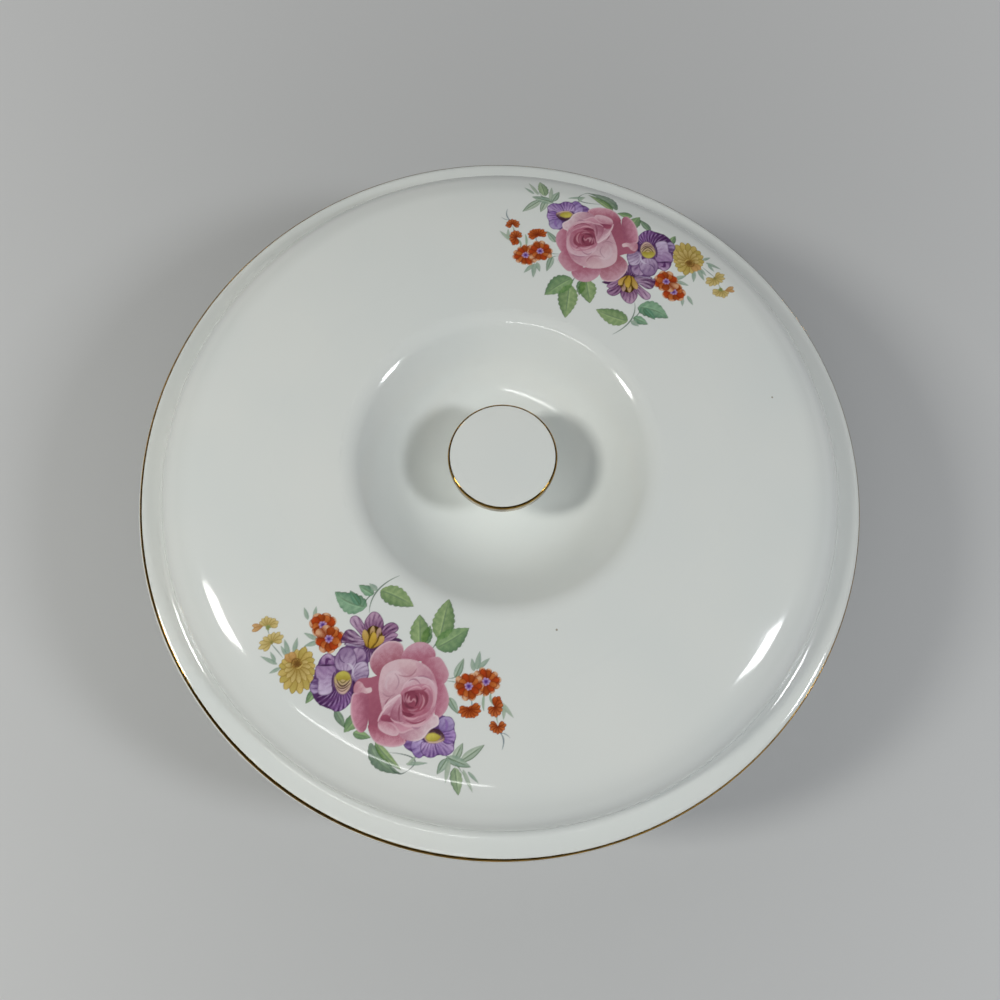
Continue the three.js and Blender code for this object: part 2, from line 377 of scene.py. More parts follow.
def knob_profile(knob, foot_height, top):
    """From the axis out along foot, fillet of slip and stem, and round the disc back to the axis."""
    disc_underside = top - knob.disc_thickness
    edge = knob.edge_round
    slip = knob.slip_width
    return [
        (0, foot_height),
        (knob.foot_radius + slip, foot_height),
        *arc((knob.foot_radius + slip, foot_height + slip), slip, slip, 270, 200, ROUND_STEPS)[1:],
        *arc((knob.foot_radius, foot_height + slip + knob.foot_rise), knob.foot_radius - knob.neck_radius,
             knob.foot_rise, 250, 180, ROUND_STEPS),
        *arc((knob.neck_radius + knob.neck_fillet, disc_underside - knob.neck_fillet), knob.neck_fillet,
             knob.neck_fillet, 180, 90, ROUND_STEPS),
        *arc((knob.radius - edge, disc_underside + edge), edge, edge, -90, 0, ROUND_STEPS),
        *arc((knob.radius - edge, top - knob.crown - edge), edge, edge, 0, 90, ROUND_STEPS),
        *[(share * (knob.radius - edge), top - knob.crown * share ** 4) for share in (0.9, 0.75, 0.5, 0.25)],
        (0, top),
    ]


def spun(profile, segments, closed=False):
    """Turns a profile round the Z axis and closes its seam and its poles."""
    mesh = bmesh.new()
    points = [mesh.verts.new((radius, 0, height)) for radius, height in profile]
    lines = [mesh.edges.new(pair) for pair in zip(points, points[1:])]
    if closed:
        lines.append(mesh.edges.new((points[-1], points[0])))
    bmesh.ops.spin(
        mesh, geom=points + lines, cent=(0, 0, 0), axis=(0, 0, 1), dvec=(0, 0, 0), angle=math.tau,
        steps=segments, use_merge=True
    )
    bmesh.ops.remove_doubles(mesh, verts=mesh.verts, dist=MERGE_DISTANCE)
    bmesh.ops.recalc_face_normals(mesh, faces=mesh.faces)
    return mesh


def placed(name, data):
    """An object in the scene, at the origin, that shows some data."""
    thing = bpy.data.objects.new(name, data)
    bpy.context.scene.collection.objects.link(thing)
    return thing


def mesh_object(mesh, name, materials):
    data = bpy.data.meshes.new(name)
    mesh.to_mesh(data)
    mesh.free()
    for material in materials:
        data.materials.append(material)
    return placed(name, data)


def add_piece(mesh, name, body, materials, stands_for=None):
    """Makes a piece of a bmesh, smooth all over, and hangs it on its body."""
    piece = mesh_object(mesh, name, materials)
    piece.data.shade_smooth()
    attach(piece, body)
    if stands_for:
        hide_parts(stands_for)
    return piece


def node(tree, kind, inputs=None, **settings):
    """Adds a node with its settings; an input is a value, or the socket that feeds it."""
    made = tree.nodes.new(kind)
    for name, value in settings.items():
        setattr(made, name, value)
    for key, value in (inputs or {}).items():
        if isinstance(value, bpy.types.NodeSocket):
            tree.links.new(value, made.inputs[key])
        else:
            made.inputs[key].default_value = value
    return made


# The Mix node's sockets share their names, so they are told apart by their numbers.
FACTOR, NUMBER_A, NUMBER_B, COLOUR_A, COLOUR_B = 0, 2, 3, 6, 7
MIXED_NUMBER, MIXED_COLOUR = 0, 2

# Real sizes of what shows in the glaze: its slow drift of tone, the gap between the places where a speck may
# lie, the reach of a speck's core and of its soft edge as shares of that gap, the share of places without a
# speck, and the length and height of the waves in which the glaze set.
GLAZE_DRIFT = 45 * MM
SPECK_GAP = 9 * MM
SPECK_CORE, SPECK_EDGE = 0.028, 0.045
CLEAN_SHARE = 0.965
WAVE_LENGTH = 14 * MM
WAVE_HEIGHT = 0.13 * MM
GLAZE_GLOSS = {"Roughness": 0.09, "IOR": 1.52}

# Bare clay: its grain, drawn coarser than the real one so that it shows, and the patches rubbed by tables.
CLAY_GRAIN = 1.2 * MM
CLAY_RELIEF = 0.1 * MM
RUBBED_PATCH = 14 * MM

# The patches in which handling has thinned the gold; their dark tone is partly a painted dark reflection.
WEAR_AND_REFLECTION_PATCH = 3.5 * MM


def made_of(finish, values):
    """The material that a finish gives, made once and named as the finish is."""
    material = bpy.data.materials.get(finish.__name__)
    if not material:
        material = bpy.data.materials.new(finish.__name__)
        material.use_nodes = True
        tree = material.node_tree
        tree.nodes.clear()
        place = node(tree, "ShaderNodeTexCoord").outputs["Object"]
        shader = finish(tree, place, values)
        node(tree, "ShaderNodeOutputMaterial", {"Surface": shader.outputs["BSDF"]})
    return material


def rgba(values):
    return (*values[:3], 1.0)


def seen_or_mirrored(tree):
    """1 where the camera looks, straight or in gloss or glass, and 0 for light that falls on things."""
    rays = node(tree, "ShaderNodeLightPath").outputs
    seen = rays["Is Camera Ray"]
    for other in ("Is Glossy Ray", "Is Transmission Ray"):
        seen = node(tree, "ShaderNodeMath", {0: seen, 1: rays[other]}, operation="MAXIMUM").outputs[0]
    return seen


def glaze_layers(tree, place, finishes):
    """Glaze colour and relief: slow drift of tone, a few iron specks and a faint waviness."""
    drift = node(tree, "ShaderNodeTexNoise", {"Vector": place, "Scale": 1 / GLAZE_DRIFT, "Detail": 2.0})
    cooler = node(tree, "ShaderNodeMapRange", {
        "Value": drift.outputs[0], "From Min": 0.35, "From Max": 0.75, "To Min": 0.0, "To Max": 0.55
    })
    tone = node(tree, "ShaderNodeMix", {
        FACTOR: cooler.outputs[0], COLOUR_A: rgba(finishes.glaze), COLOUR_B: rgba(finishes.glaze_cool)
    }, data_type="RGBA")

    cells = node(tree, "ShaderNodeTexVoronoi", {"Vector": place, "Scale": 1 / SPECK_GAP})
    lot = node(tree, "ShaderNodeSeparateColor", {"Color": cells.outputs["Color"]})
    rare = node(tree, "ShaderNodeMath", {0: lot.outputs[0], 1: CLEAN_SHARE}, operation="GREATER_THAN")
    dot = node(tree, "ShaderNodeMapRange", {
        "Value": cells.outputs["Distance"], "From Min": SPECK_CORE, "From Max": SPECK_EDGE,
        "To Min": 0.8, "To Max": 0.0
    })
    speck = node(tree, "ShaderNodeMath", {0: rare.outputs[0], 1: dot.outputs[0]}, operation="MULTIPLY")
    specked = node(tree, "ShaderNodeMix", {
        FACTOR: speck.outputs[0], COLOUR_A: tone.outputs[MIXED_COLOUR], COLOUR_B: rgba(finishes.speck)
    }, data_type="RGBA")

    waves = node(tree, "ShaderNodeTexNoise", {"Vector": place, "Scale": 1 / WAVE_LENGTH, "Detail": 0.4})
    relief = node(tree, "ShaderNodeBump", {
        "Height": waves.outputs[0], "Strength": 1.0, "Distance": WAVE_HEIGHT
    })
    return specked.outputs[MIXED_COLOUR], relief.outputs[0]


def clear_glazed_earthenware(tree, place, finishes):
    """Pale earthenware under a clear glaze: off-white, with a wet gloss and slightly wavy highlights."""
    tone, relief = glaze_layers(tree, place, finishes)
    return node(tree, "ShaderNodeBsdfPrincipled", {"Base Color": tone, "Normal": relief, **GLAZE_GLOSS})


def spray_enamel(tree, place, finishes):
    """Printed enamels sunk in the glaze: their own colours, its gloss, and clear glaze between flowers."""
    tone, relief = glaze_layers(tree, place, finishes)
    ink = node(tree, "ShaderNodeAttribute", attribute_name="ink")
    printed = node(tree, "ShaderNodeMix", {
        FACTOR: ink.outputs["Alpha"], COLOUR_A: tone, COLOUR_B: ink.outputs["Color"]
    }, data_type="RGBA")
    return node(tree, "ShaderNodeBsdfPrincipled", {
        "Base Color": printed.outputs[MIXED_COLOUR], "Normal": relief, **GLAZE_GLOSS
    })


def earthenware_biscuit(tree, place, finishes):
    """Bare fired clay, ground flat: chalky, matt, and grey where it has rubbed on tables."""
    grain = node(tree, "ShaderNodeTexNoise", {"Vector": place, "Scale": 1 / CLAY_GRAIN, "Detail": 4.0})
    patches = node(tree, "ShaderNodeTexNoise", {"Vector": place, "Scale": 1 / RUBBED_PATCH, "Detail": 3.0})
    rubbed = node(tree, "ShaderNodeMapRange", {
        "Value": patches.outputs[0], "From Min": 0.4, "From Max": 0.65, "To Min": 0.0, "To Max": 0.7
    })
    tone = node(tree, "ShaderNodeMix", {
        FACTOR: rubbed.outputs[0], COLOUR_A: rgba(finishes.biscuit), COLOUR_B: rgba(finishes.biscuit_grime)
    }, data_type="RGBA")
    relief = node(tree, "ShaderNodeBump", {
        "Height": grain.outputs[0], "Strength": 0.6, "Distance": CLAY_RELIEF
    })
    return node(tree, "ShaderNodeBsdfPrincipled", {
        "Base Color": tone.outputs[MIXED_COLOUR], "Normal": relief.outputs[0], "Roughness": 0.85
    })


def burnished_bright_gold(tree, place, finishes):
    """Burnished liquid gold on the glaze: a thin mirror, streaked by the brush, with worn patches that are
    also painted dark reflection.
    """
    wear_and_reflection_noise = node(tree, "ShaderNodeTexNoise", {"Vector": place, "Scale": 1 / WEAR_AND_REFLECTION_PATCH, "Detail": 5.0})
    # Dark patches: gold thinned by handling, and also a painted dark reflection that darkens the gold line.
    wear_and_reflection_share = node(tree, "ShaderNodeMapRange", {
        "Value": wear_and_reflection_noise.outputs[0], "From Min": 0.42, "From Max": 0.72, "To Min": 0.0, "To Max": 0.75
    })
    tone = node(tree, "ShaderNodeMix", {
        FACTOR: wear_and_reflection_share.outputs[0], COLOUR_A: rgba(finishes.gold), COLOUR_B: rgba(finishes.gold_worn_and_dark_reflection)
    }, data_type="RGBA")
    gloss = node(tree, "ShaderNodeMapRange", {
        "Value": wear_and_reflection_noise.outputs[0], "From Min": 0.4, "From Max": 0.7, "To Min": 0.07, "To Max": 0.2
    })
    return node(tree, "ShaderNodeBsdfPrincipled", {
        "Base Color": tone.outputs[MIXED_COLOUR], "Roughness": gloss.outputs[0], "Metallic": 1.0
    })


def painted_board(tree, place, stage):
    """Board painted with matt emulsion: plain and pale, and far off as pale to the eye as the backdrop."""
    away = node(tree, "ShaderNodeVectorMath", {0: place}, operation="LENGTH")
    far = node(tree, "ShaderNodeMapRange", {
        "Value": away.outputs["Value"], "From Min": stage.fade_from, "From Max": stage.fade_to,
        "To Min": 0.0, "To Max": stage.far_glow
    })
    pale = node(tree, "ShaderNodeMath", {0: seen_or_mirrored(tree), 1: far.outputs[0]}, operation="MULTIPLY")
    return node(tree, "ShaderNodeBsdfPrincipled", {
        "Base Color": rgba(stage.floor_colour), "Roughness": 0.8,
        "Emission Color": rgba((1, 1, 1)), "Emission Strength": pale.outputs[0]
    })


# The print's own manner, with lengths in millimetres: how softly an edge of ink ends, how far in a drawn
# outline reaches, how much the glaze over it greys a colour, and how speckled the ink lies.
EDGE_FADE = 0.24
LINE_REACH = 0.1
GLAZE_VEIL = 0.04
LIGHTNESS = (0.3, 0.6, 0.1)
BARE_TONE = 0.85
SPECKLE = 0.6
SPECKLE_SEED = 5
CURVE_STEPS = 4
STROKE_STEPS = 16
TINY = 1e-9
RIB = "#4F6E4A"


def ease(low, high, x):
    """A smooth step from 0 at low to 1 at high."""
    t = np.clip((x - low) / (high - low), 0, 1)
    return t * t * (3 - 2 * t)


def inked(edge):
    """1 well inside an edge and 0 outside it, with the ink's soft end between them."""
    return ease(-EDGE_FADE / 2, EDGE_FADE / 2, edge)


def blend(first, second, share):
    share = np.asarray(share)[..., None]
    return first * (1 - share) + second * share


def turned_by(u, v, root, turn_deg):
    """Coordinates counted from a root, along a direction and across it."""
    turn = math.radians(turn_deg)
    du, dv = u - root[0], v - root[1]
    return du * math.cos(turn) + dv * math.sin(turn), -du * math.sin(turn) + dv * math.cos(turn)


def from_lines(u, v, starts, ends):
    """The nearest place on each line, as a share of its length, and how far away that place lies."""
    (au, av), (bu, bv) = starts.T, ends.T
    along = np.clip(((u - au) * (bu - au) + (v - av) * (bv - av)) / ((bu - au) ** 2 + (bv - av) ** 2), 0, 1)
    return along, np.hypot(u - au - along * (bu - au), v - av - along * (bv - av))


class Transfer:
    """A printed spray in its own plane, in millimetres: u to the right, v up, the rose's middle at (0, 0)."""

    def __init__(self, u, v):
        self.u, self.v = u, v
        self.colour = np.full(u.shape + (3,), BARE_TONE)
        self.cover = np.zeros(u.shape)
        self.grain = np.clip(np.random.default_rng(SPECKLE_SEED).normal(0, SPECKLE, u.shape), -1, 1)
        self.mottle = np.sin(1.9 * u + 1.4 * np.sin(1.1 * v)) * np.sin(1.6 * v + 1.2 * np.sin(1.3 * u))

    def within(self, points, margin):
        """Which cells lie near enough to some points to be printed on."""
        low, high = np.min(points, axis=0) - margin, np.max(points, axis=0) + margin
        inside = (self.u > low[0]) & (self.u < high[0]) & (self.v > low[1]) & (self.v < high[1])
        return np.nonzero(inside)[0]

    def lay(self, at, mask, colour):
        """Prints a colour, a little greyed by the glaze over it, on what is there."""
        grey = (np.asarray(colour) @ LIGHTNESS)[..., None]
        self.colour[at] = blend(self.colour[at], colour * (1 - GLAZE_VEIL) + grey * GLAZE_VEIL, mask)
        self.cover[at] = 1 - (1 - self.cover[at]) * (1 - mask)

    def shape(self, points, dark, light, lit_from, rim=None, line=None, veins=None):
        """A petal inside a smooth closed curve, shaded from dark to light towards one side.

        It can have a pale rim, a drawn outline, and veins, given as the root that they fan out from, their
        number round it and their depth.
        """
        knots = np.array(points, float)
        t = np.linspace(0, 1, CURVE_STEPS + 1)[:-1, None]
        outline = np.concatenate([
            0.5 * (2 * b + (c - a) * t + (2 * a - 5 * b + 4 * c - d) * t ** 2
                   + (3 * b - a - 3 * c + d) * t ** 3)
            for a, b, c, d in zip(np.roll(knots, 1, 0), knots, np.roll(knots, -1, 0), np.roll(knots, -2, 0))
        ])
        ends = np.roll(outline, -1, 0)
        at = self.within(outline, 1)
        u, v = self.u[at, None], self.v[at, None]
        away = from_lines(u, v, outline, ends)[1].min(axis=1)
        (au, av), (bu, bv) = outline.T, ends.T
        rise = np.where(bv == av, TINY, bv - av)
        crossed = ((av > v) != (bv > v)) & (u < au + (v - av) * (bu - au) / rise)
        edge = np.where(crossed.sum(axis=1) % 2 == 1, away, -away)
        way = math.radians(lit_from)
        reach = outline @ (math.cos(way), math.sin(way))
        facing = (self.u[at] * math.cos(way) + self.v[at] * math.sin(way) - reach.min()) / np.ptp(reach)
        tone = facing + 0.10 * self.grain[at] + 0.10 * self.mottle[at]
        colour = blend(srgb(dark), srgb(light), ease(-0.05, 1.05, tone))
        if veins:
            root, count, depth = veins
            turn = np.arctan2(self.v[at] - root[1], self.u[at] - root[0])
            reach_out = np.hypot(self.v[at] - root[1], self.u[at] - root[0])
            phase = count * turn + 1.2 * np.sin(0.8 * reach_out)
            patchy = 0.6 + 0.4 * np.cos(0.31 * phase + 1.7 * reach_out)
            ridge = 0.8 * depth * patchy * ease(0.3, 0.95, -np.sin(phase))
            colour = blend(colour, blend(srgb(light), 1.0, 0.35), ridge)
            colour = blend(colour, srgb(line), depth * patchy * ease(0.25, 0.95, np.sin(phase)))
        if rim:
            colour = blend(colour, srgb(rim), 0.8 * ease(0.75, LINE_REACH, edge) * ease(0.35, 0.8, facing))
        if line:
            colour = blend(colour, srgb(line), (0.55 + 0.25 * self.mottle[at]) * ease(0.38, LINE_REACH, edge))
        self.lay(at, inked(edge), colour)

    def petal(self, root, turn, length, width, dark, light, full=1.5, line=None):
        """A petal or stamen that widens from its root."""
        way = math.radians(turn)
        far = (root[0] + length * math.cos(way), root[1] + length * math.sin(way))
        at = self.within([root, far], width)
        along, across = turned_by(self.u[at], self.v[at], root, turn)
        share = np.clip(along / length, 0, 1)
        half = width / 2 * np.sin(math.pi * share ** full) ** 0.6
        edge = half - np.abs(across)
        tone = 0.1 + 0.8 * share - 0.3 * (across / np.maximum(half, 0.2)) ** 2 + 0.12 * self.grain[at]
        colour = blend(srgb(dark), srgb(light), np.clip(tone, 0, 1))
        if line:
            colour = blend(colour, srgb(line), 0.7 * ease(0.34, LINE_REACH, edge))
        self.lay(at, inked(edge) * (along > 0) * (along < length), colour)

    def leaf(self, root, tip, width, dark, light, bend=0.0):
        """A leaf, toothed where broad, with soft folds, one lighter side and a dark rib beside a lit line."""
        length = math.dist(root, tip)
        turn = math.degrees(math.atan2(tip[1] - root[1], tip[0] - root[0]))
        at = self.within([root, tip], width + abs(bend) * length)
        along, across = turned_by(self.u[at], self.v[at], root, turn)
        share = np.clip(along / length, 0, 1)
        across = across - bend * length * 4 * share * (1 - share)
        half = width / 2 * np.sin(math.pi * share ** 0.72) ** 0.85
        if width > 3:
            teeth = np.abs(np.sin(math.pi * share * (length / 1.7) + 0.8 * np.sign(across)))
            half = half * (1 + 0.12 * (teeth - 0.5))
        edge = half - np.abs(across)
        side = across / np.maximum(half, 0.15)
        folds = np.cos(2 * math.pi * (share * length / 2.1 - 0.8 * np.abs(side)))
        tone = 0.66 - 0.4 * side ** 2 + 0.2 * np.tanh(2 * side) + 0.07 * folds
        tone += 0.12 * self.grain[at] + 0.16 * self.mottle[at]
        colour = blend(srgb(dark), srgb(light), np.clip(tone, 0, 1))
        if width > 2:
            lit = ease(0.45, 0.15, np.abs(across - 0.3)) * ease(0.05, 0.2, share) * ease(0.9, 0.5, share)
            rib = ease(0.28, 0.08, np.abs(across)) * ease(0.02, 0.1, share) * ease(0.95, 0.6, share)
            colour = blend(colour, srgb(light) * 1.15, 0.5 * lit)
            colour = blend(colour, srgb(RIB), 0.7 * rib)
            colour = blend(colour, srgb(RIB), 0.8 * ease(0.5, LINE_REACH, edge) * ease(0.9, -0.6, side))
        self.lay(at, 0.93 * inked(edge) * (along > 0) * (along < length), colour)

    def stroke(self, points, width, tint, strength=0.9):
        """A fine line through three points, thin at both ends."""
        start, bend, end = np.array(points, float)
        bend = 2 * bend - (start + end) / 2
        t = np.linspace(0, 1, STROKE_STEPS + 1)[:, None]
        path = (1 - t) ** 2 * start + 2 * t * (1 - t) * bend + t ** 2 * end
        at = self.within(path, width + EDGE_FADE)
        along, away = from_lines(self.u[at, None], self.v[at, None], path[:-1], path[1:])
        nearest = away.argmin(axis=1)
        share = (nearest + along[np.arange(len(at)), nearest]) / STROKE_STEPS
        half = width / 2 * (0.35 + 0.65 * np.sin(math.pi * share))
        self.lay(at, strength * inked(half - away.min(axis=1)), srgb(tint))

    def daisy(self, centre, radius, petals, dark, light, turn=0.0, notch=0.3):
        """A small round flower or flower's middle, seen from its front."""
        at = self.within([centre], radius + 0.5)
        du, dv = turned_by(self.u[at], self.v[at], centre, turn)
        away, angle = np.hypot(du, dv), np.arctan2(dv, du)
        lobes = np.abs(np.cos(petals * angle / 2))
        uneven = 1 + 0.06 * np.sin(3 * angle + turn)
        edge = radius * uneven * (1 - notch + notch * lobes ** 0.5) - away
        tone = 0.15 + 0.85 * lobes * ease(0.15, 0.9, away / radius) + 0.12 * self.grain[at]
        self.lay(at, inked(edge), blend(srgb(dark), srgb(light), np.clip(tone, 0, 1)))

    def fan(self, root, rays, width, dark, light, line, full=1.5):
        """Petals of one width round a root, each given by its turn and its length."""
        for turn, length in rays:
            self.petal(root, turn, length, width, dark, light, full, line)

    def veined(self, heart, ink, petals):
        """Outlined petals with veins that fan out from the flower's heart."""
        for outline, dark, light, lit_from, count, depth in petals:
            self.shape(outline, dark, light, lit_from, line=ink, veins=(heart, count, depth))

    def strokes(self, lines):
        for line in lines:
            self.stroke(*line)


# Leaves' and stems' colours: the dark and the light end of each.
OLIVE = ("#4E7638", "#98B370")
GREEN = ("#42703E", "#8CAE6C")
BLUE_GREEN = ("#3E7352", "#8DB88E")
GREY_GREEN = ("#7C9A88", "#A9BBA6")
PALE = ("#94AB94", "#B7C5B0")
DEEP = ("#456350", "#7F9C78")
STEM = "#54705A"


def draw_leaves(p):
    """Stems and leaves, which lie under all the flowers."""
    p.stroke(((-9.8, 24.6), (-7.6, 31.4), (-1.0, 36.3)), 0.5, STEM)
    p.stroke(((-11.6, 26.9), (-10.4, 29.2), (-8.0, 31.2)), 0.4, STEM)
    p.leaf((-10.6, 26.6), (-20.4, 31.4), 6.6, *BLUE_GREEN, bend=0.10)
    p.leaf((-12.6, 27.0), (-15.8, 31.8), 2.6, "#4A7D62", "#74A184")
    p.leaf((-6.6, 31.6), (3.6, 26.4), 6.2, *OLIVE, bend=0.04)
    p.leaf((-8.6, 30.4), (-13.2, 33.4), 3.2, *BLUE_GREEN)
    p.leaf((-7.6, 31.6), (-10.0, 33.9), 1.9, *GREY_GREEN)
    p.stroke(((9.0, 13.0), (10.6, 15.4), (12.2, 17.8)), 0.5, STEM)
    p.leaf((6.9, 14.6), (8.6, 20.6), 3.2, *GREEN)
    p.leaf((5.6, 14.6), (5.4, 24.0), 6.0, *OLIVE)
    p.leaf((11.4, 16.2), (14.2, 29.0), 6.6, *OLIVE)
    p.leaf((10.4, 13.6), (20.2, 19.6), 6.8, *GREEN, bend=-0.03)
    p.leaf((-25.4, 1.4), (-28.2, -2.8), 2.4, *GREEN)
    p.leaf((-19.4, -4.8), (-16.2, -10.2), 2.6, *DEEP)
    p.leaf((-12.6, -6.4), (-16.6, -11.4), 4.0, *GREEN)
    p.leaf((-14.0, -11.6), (-8.6, -13.0), 2.8, *GREEN)
    p.leaf((-9.0, -14.6), (0.2, -23.6), 4.2, *DEEP, bend=-0.16)
    p.leaf((-7.4, -14.4), (0.4, -22.6), 2.8, *OLIVE, bend=-0.04)
    p.stroke(((-3.0, -17.4), (4.0, -19.4), (1.8, -23.0)), 0.5, "#4A5F52")
    p.stroke(((1.8, -23.0), (-0.6, -23.6), (-3.0, -21.8)), 0.5, "#4A5F52")
    p.leaf((1.6, -20.8), (8.2, -20.6), 1.2, *GREY_GREEN)
    p.leaf((2.0, -21.2), (5.0, -18.2), 1.0, *PALE)
    p.stroke(((11.3, -17.6), (15.4, -20.2), (18.4, -24.4)), 0.45, "#6B846C")
    p.leaf((15.6, -20.0), (18.2, -14.8), 2.6, *PALE)
    p.leaf((17.6, -20.2), (24.6, -15.4), 2.8, *PALE)
    p.leaf((13.4, -19.0), (20.6, -22.0), 3.0, *GREY_GREEN)
    p.leaf((13.6, -19.4), (10.6, -24.0), 2.6, *GREY_GREEN)
    p.leaf((14.2, -19.8), (13.0, -26.6), 1.6, *PALE)
    p.leaf((15.8, -22.0), (16.8, -30.4), 3.6, "#6E8F62", "#A3B98C")
    p.leaf((18.2, -22.6), (21.0, -29.6), 1.3, *PALE)
    p.leaf((19.6, -23.2), (22.8, -26.8), 1.1, *GREY_GREEN)
    p.stroke(((13.0, 3.6), (16.0, 3.2), (19.0, 2.0)), 0.35, "#6F8F7E")
    p.stroke(((13.6, 4.4), (15.8, 4.6), (17.2, 6.0)), 0.35, "#6F8F7E")
    p.leaf((16.0, 4.4), (18.6, 10.4), 2.4, *GREY_GREEN)
    p.leaf((21.6, 6.4), (20.9, 10.4), 1.6, *GREY_GREEN)
    p.leaf((22.4, 6.8), (23.4, 12.6), 1.8, *GREY_GREEN)
    p.leaf((22.8, 7.2), (26.4, 10.4), 1.5, *GREY_GREEN)
    p.leaf((14.2, -1.4), (16.9, -6.4), 2.4, *GREY_GREEN)
    p.leaf((29.4, -3.0), (33.2, -7.8), 1.4, *PALE)
    p.leaf((30.4, -4.0), (30.1, -8.4), 1.2, *PALE)
    p.strokes((
        (((20.6, -1.6), (20.9, -3.2), (20.7, -4.8)), 0.4, "#6E8FA0"),
        (((24.6, -0.2), (24.2, -3.0), (24.4, -5.4)), 0.9, "#93AE90"),
        (((26.6, 0.0), (26.4, -2.0), (27.4, -4.0)), 0.8, "#93AE90"),
        (((28.4, -6.6), (28.2, -8.0), (28.6, -9.4)), 0.4, "#7FA07E"),
        (((28.6, -11.6), (30.0, -13.8), (29.6, -17.0)), 0.5, "#5F7680"),
        (((29.2, -12.2), (30.6, -12.4), (32.0, -13.6)), 0.35, "#5F7680"),
    ))
    for root, tip, width in (
        ((-28.2, 22.8), (-29.6, 26.8), 1.4), ((-26.4, 23.2), (-25.8, 27.0), 1.3),
        ((-25.2, 16.6), (-29.4, 18.8), 1.5), ((-24.6, 16.0), (-29.2, 14.6), 1.6),
        ((-33.6, 12.0), (-35.2, 17.0), 1.6), ((-34.4, 11.6), (-36.2, 15.0), 1.2),
        ((-32.2, 12.6), (-31.2, 17.4), 1.6), ((-37.0, 9.2), (-42.4, 11.8), 1.4),
        ((-37.6, 10.0), (-39.4, 13.2), 1.2), ((-36.0, 8.2), (-39.6, 6.4), 1.2),
    ):
        p.leaf(root, tip, width, *GREY_GREEN)
    p.stroke(((-39.2, 15.6), (-37.4, 13.6), (-35.4, 11.2)), 0.45, "#6F8A78")
    p.stroke(((-40.6, 21.6), (-40.4, 20.0), (-39.6, 18.0)), 0.4, "#6F8A78")


def draw_yellow_flowers(p):
    """The yellow flower at the far left and the two sprigs beyond it."""
    sprig = (1.6, "#B29A54", "#E6D392", "#A88C4C", 1.6)
    p.fan((-40.4, 20.9), (
        (152, 3.0), (126, 3.2), (100, 3.4), (74, 3.0), (48, 3.4), (24, 3.7), (4, 3.2)
    ), *sprig)
    p.fan((-38.9, 16.0), (
        (228, 3.7), (206, 4.6), (182, 4.0), (152, 3.2), (112, 2.8), (80, 3.2), (54, 4.0), (30, 4.1),
        (6, 3.2)
    ), *sprig)
    p.daisy((-40.3, 20.6), 0.9, 5, "#7F8A50", "#A5AC66")
    p.daisy((-39.0, 16.0), 0.7, 5, "#8C8246", "#B3A45C")
    p.fan((-41.8, 21.0), ((176, 3.5), (204, 3.8)), 1.5, "#B98850", "#E0B680", "#B08048")
    outer = (
        (92, 5.2, 2.2), (68, 6.3, 2.6), (44, 6.1, 2.7), (22, 5.6, 2.5), (0, 5.6, 2.4), (-22, 6.1, 2.6),
        (-44, 7.2, 2.7), (-64, 8.1, 2.7), (-82, 8.6, 2.6), (-99, 8.5, 2.5), (-117, 8.0, 2.6),
        (-136, 7.1, 2.6), (-156, 6.3, 2.5), (178, 5.6, 2.4), (160, 5.1, 2.2),
    )
    for k, (turn, length, width) in enumerate(outer):
        light = ("#E0C878", "#CDBA66")[k % 2]
        p.petal((-31.0, 8.6), turn, length, width, "#A98B40", light, full=1.9, line="#94762F")
    p.fan((-31.4, 9.4), ((142, 4.4), (116, 4.0)), 2.4, "#B0803C", "#DDB276", "#A87C40")
    p.fan((-31.0, 8.8), (
        (20, 3.4), (-8, 4.2), (-34, 4.8), (-58, 5.4), (-82, 5.6), (-106, 5.4), (-130, 4.8), (-156, 4.2),
        (178, 3.6)
    ), 1.9, "#9E8038", "#E2CC88", "#94742E", 1.8)
    p.daisy((-31.0, 9.3), 1.7, 7, "#6E4A20", "#A8823C", turn=10, notch=0.5)
    p.stroke(((-32.8, 8.4), (-32.2, 10.6), (-30.2, 10.6)), 0.45, "#7A5426", 0.8)
    p.stroke(((-31.2, 8.0), (-30.2, 8.2), (-29.4, 9.2)), 0.4, "#D8C070", 0.9)


def draw_orange_flower(p, centre, radius, turns):
    """A small double flower: red-brown gaps, orange petals with pale tips and a violet eye."""
    p.daisy(centre, radius + 0.25, len(turns), "#8A3010", "#E6B48C", turn=turns[0], notch=0.2)
    for k, turn in enumerate(turns):
        dark, light = (("#8E2A0C", "#D2521C"), ("#A04414", "#DE8040"), ("#7E3010", "#C4581E"))[k % 3]
        length = radius * (0.9 + 0.1 * math.cos(2.3 * k))
        p.petal(centre, turn, length, 5.2 * radius / len(turns), dark, light, full=1.7, line="#7E2C0C")
    p.daisy(centre, 1.25, 7, "#8A62AC", "#C6AACE", turn=turns[0])
    p.daisy(centre, 0.6, 5, "#55327C", "#7E58A8")


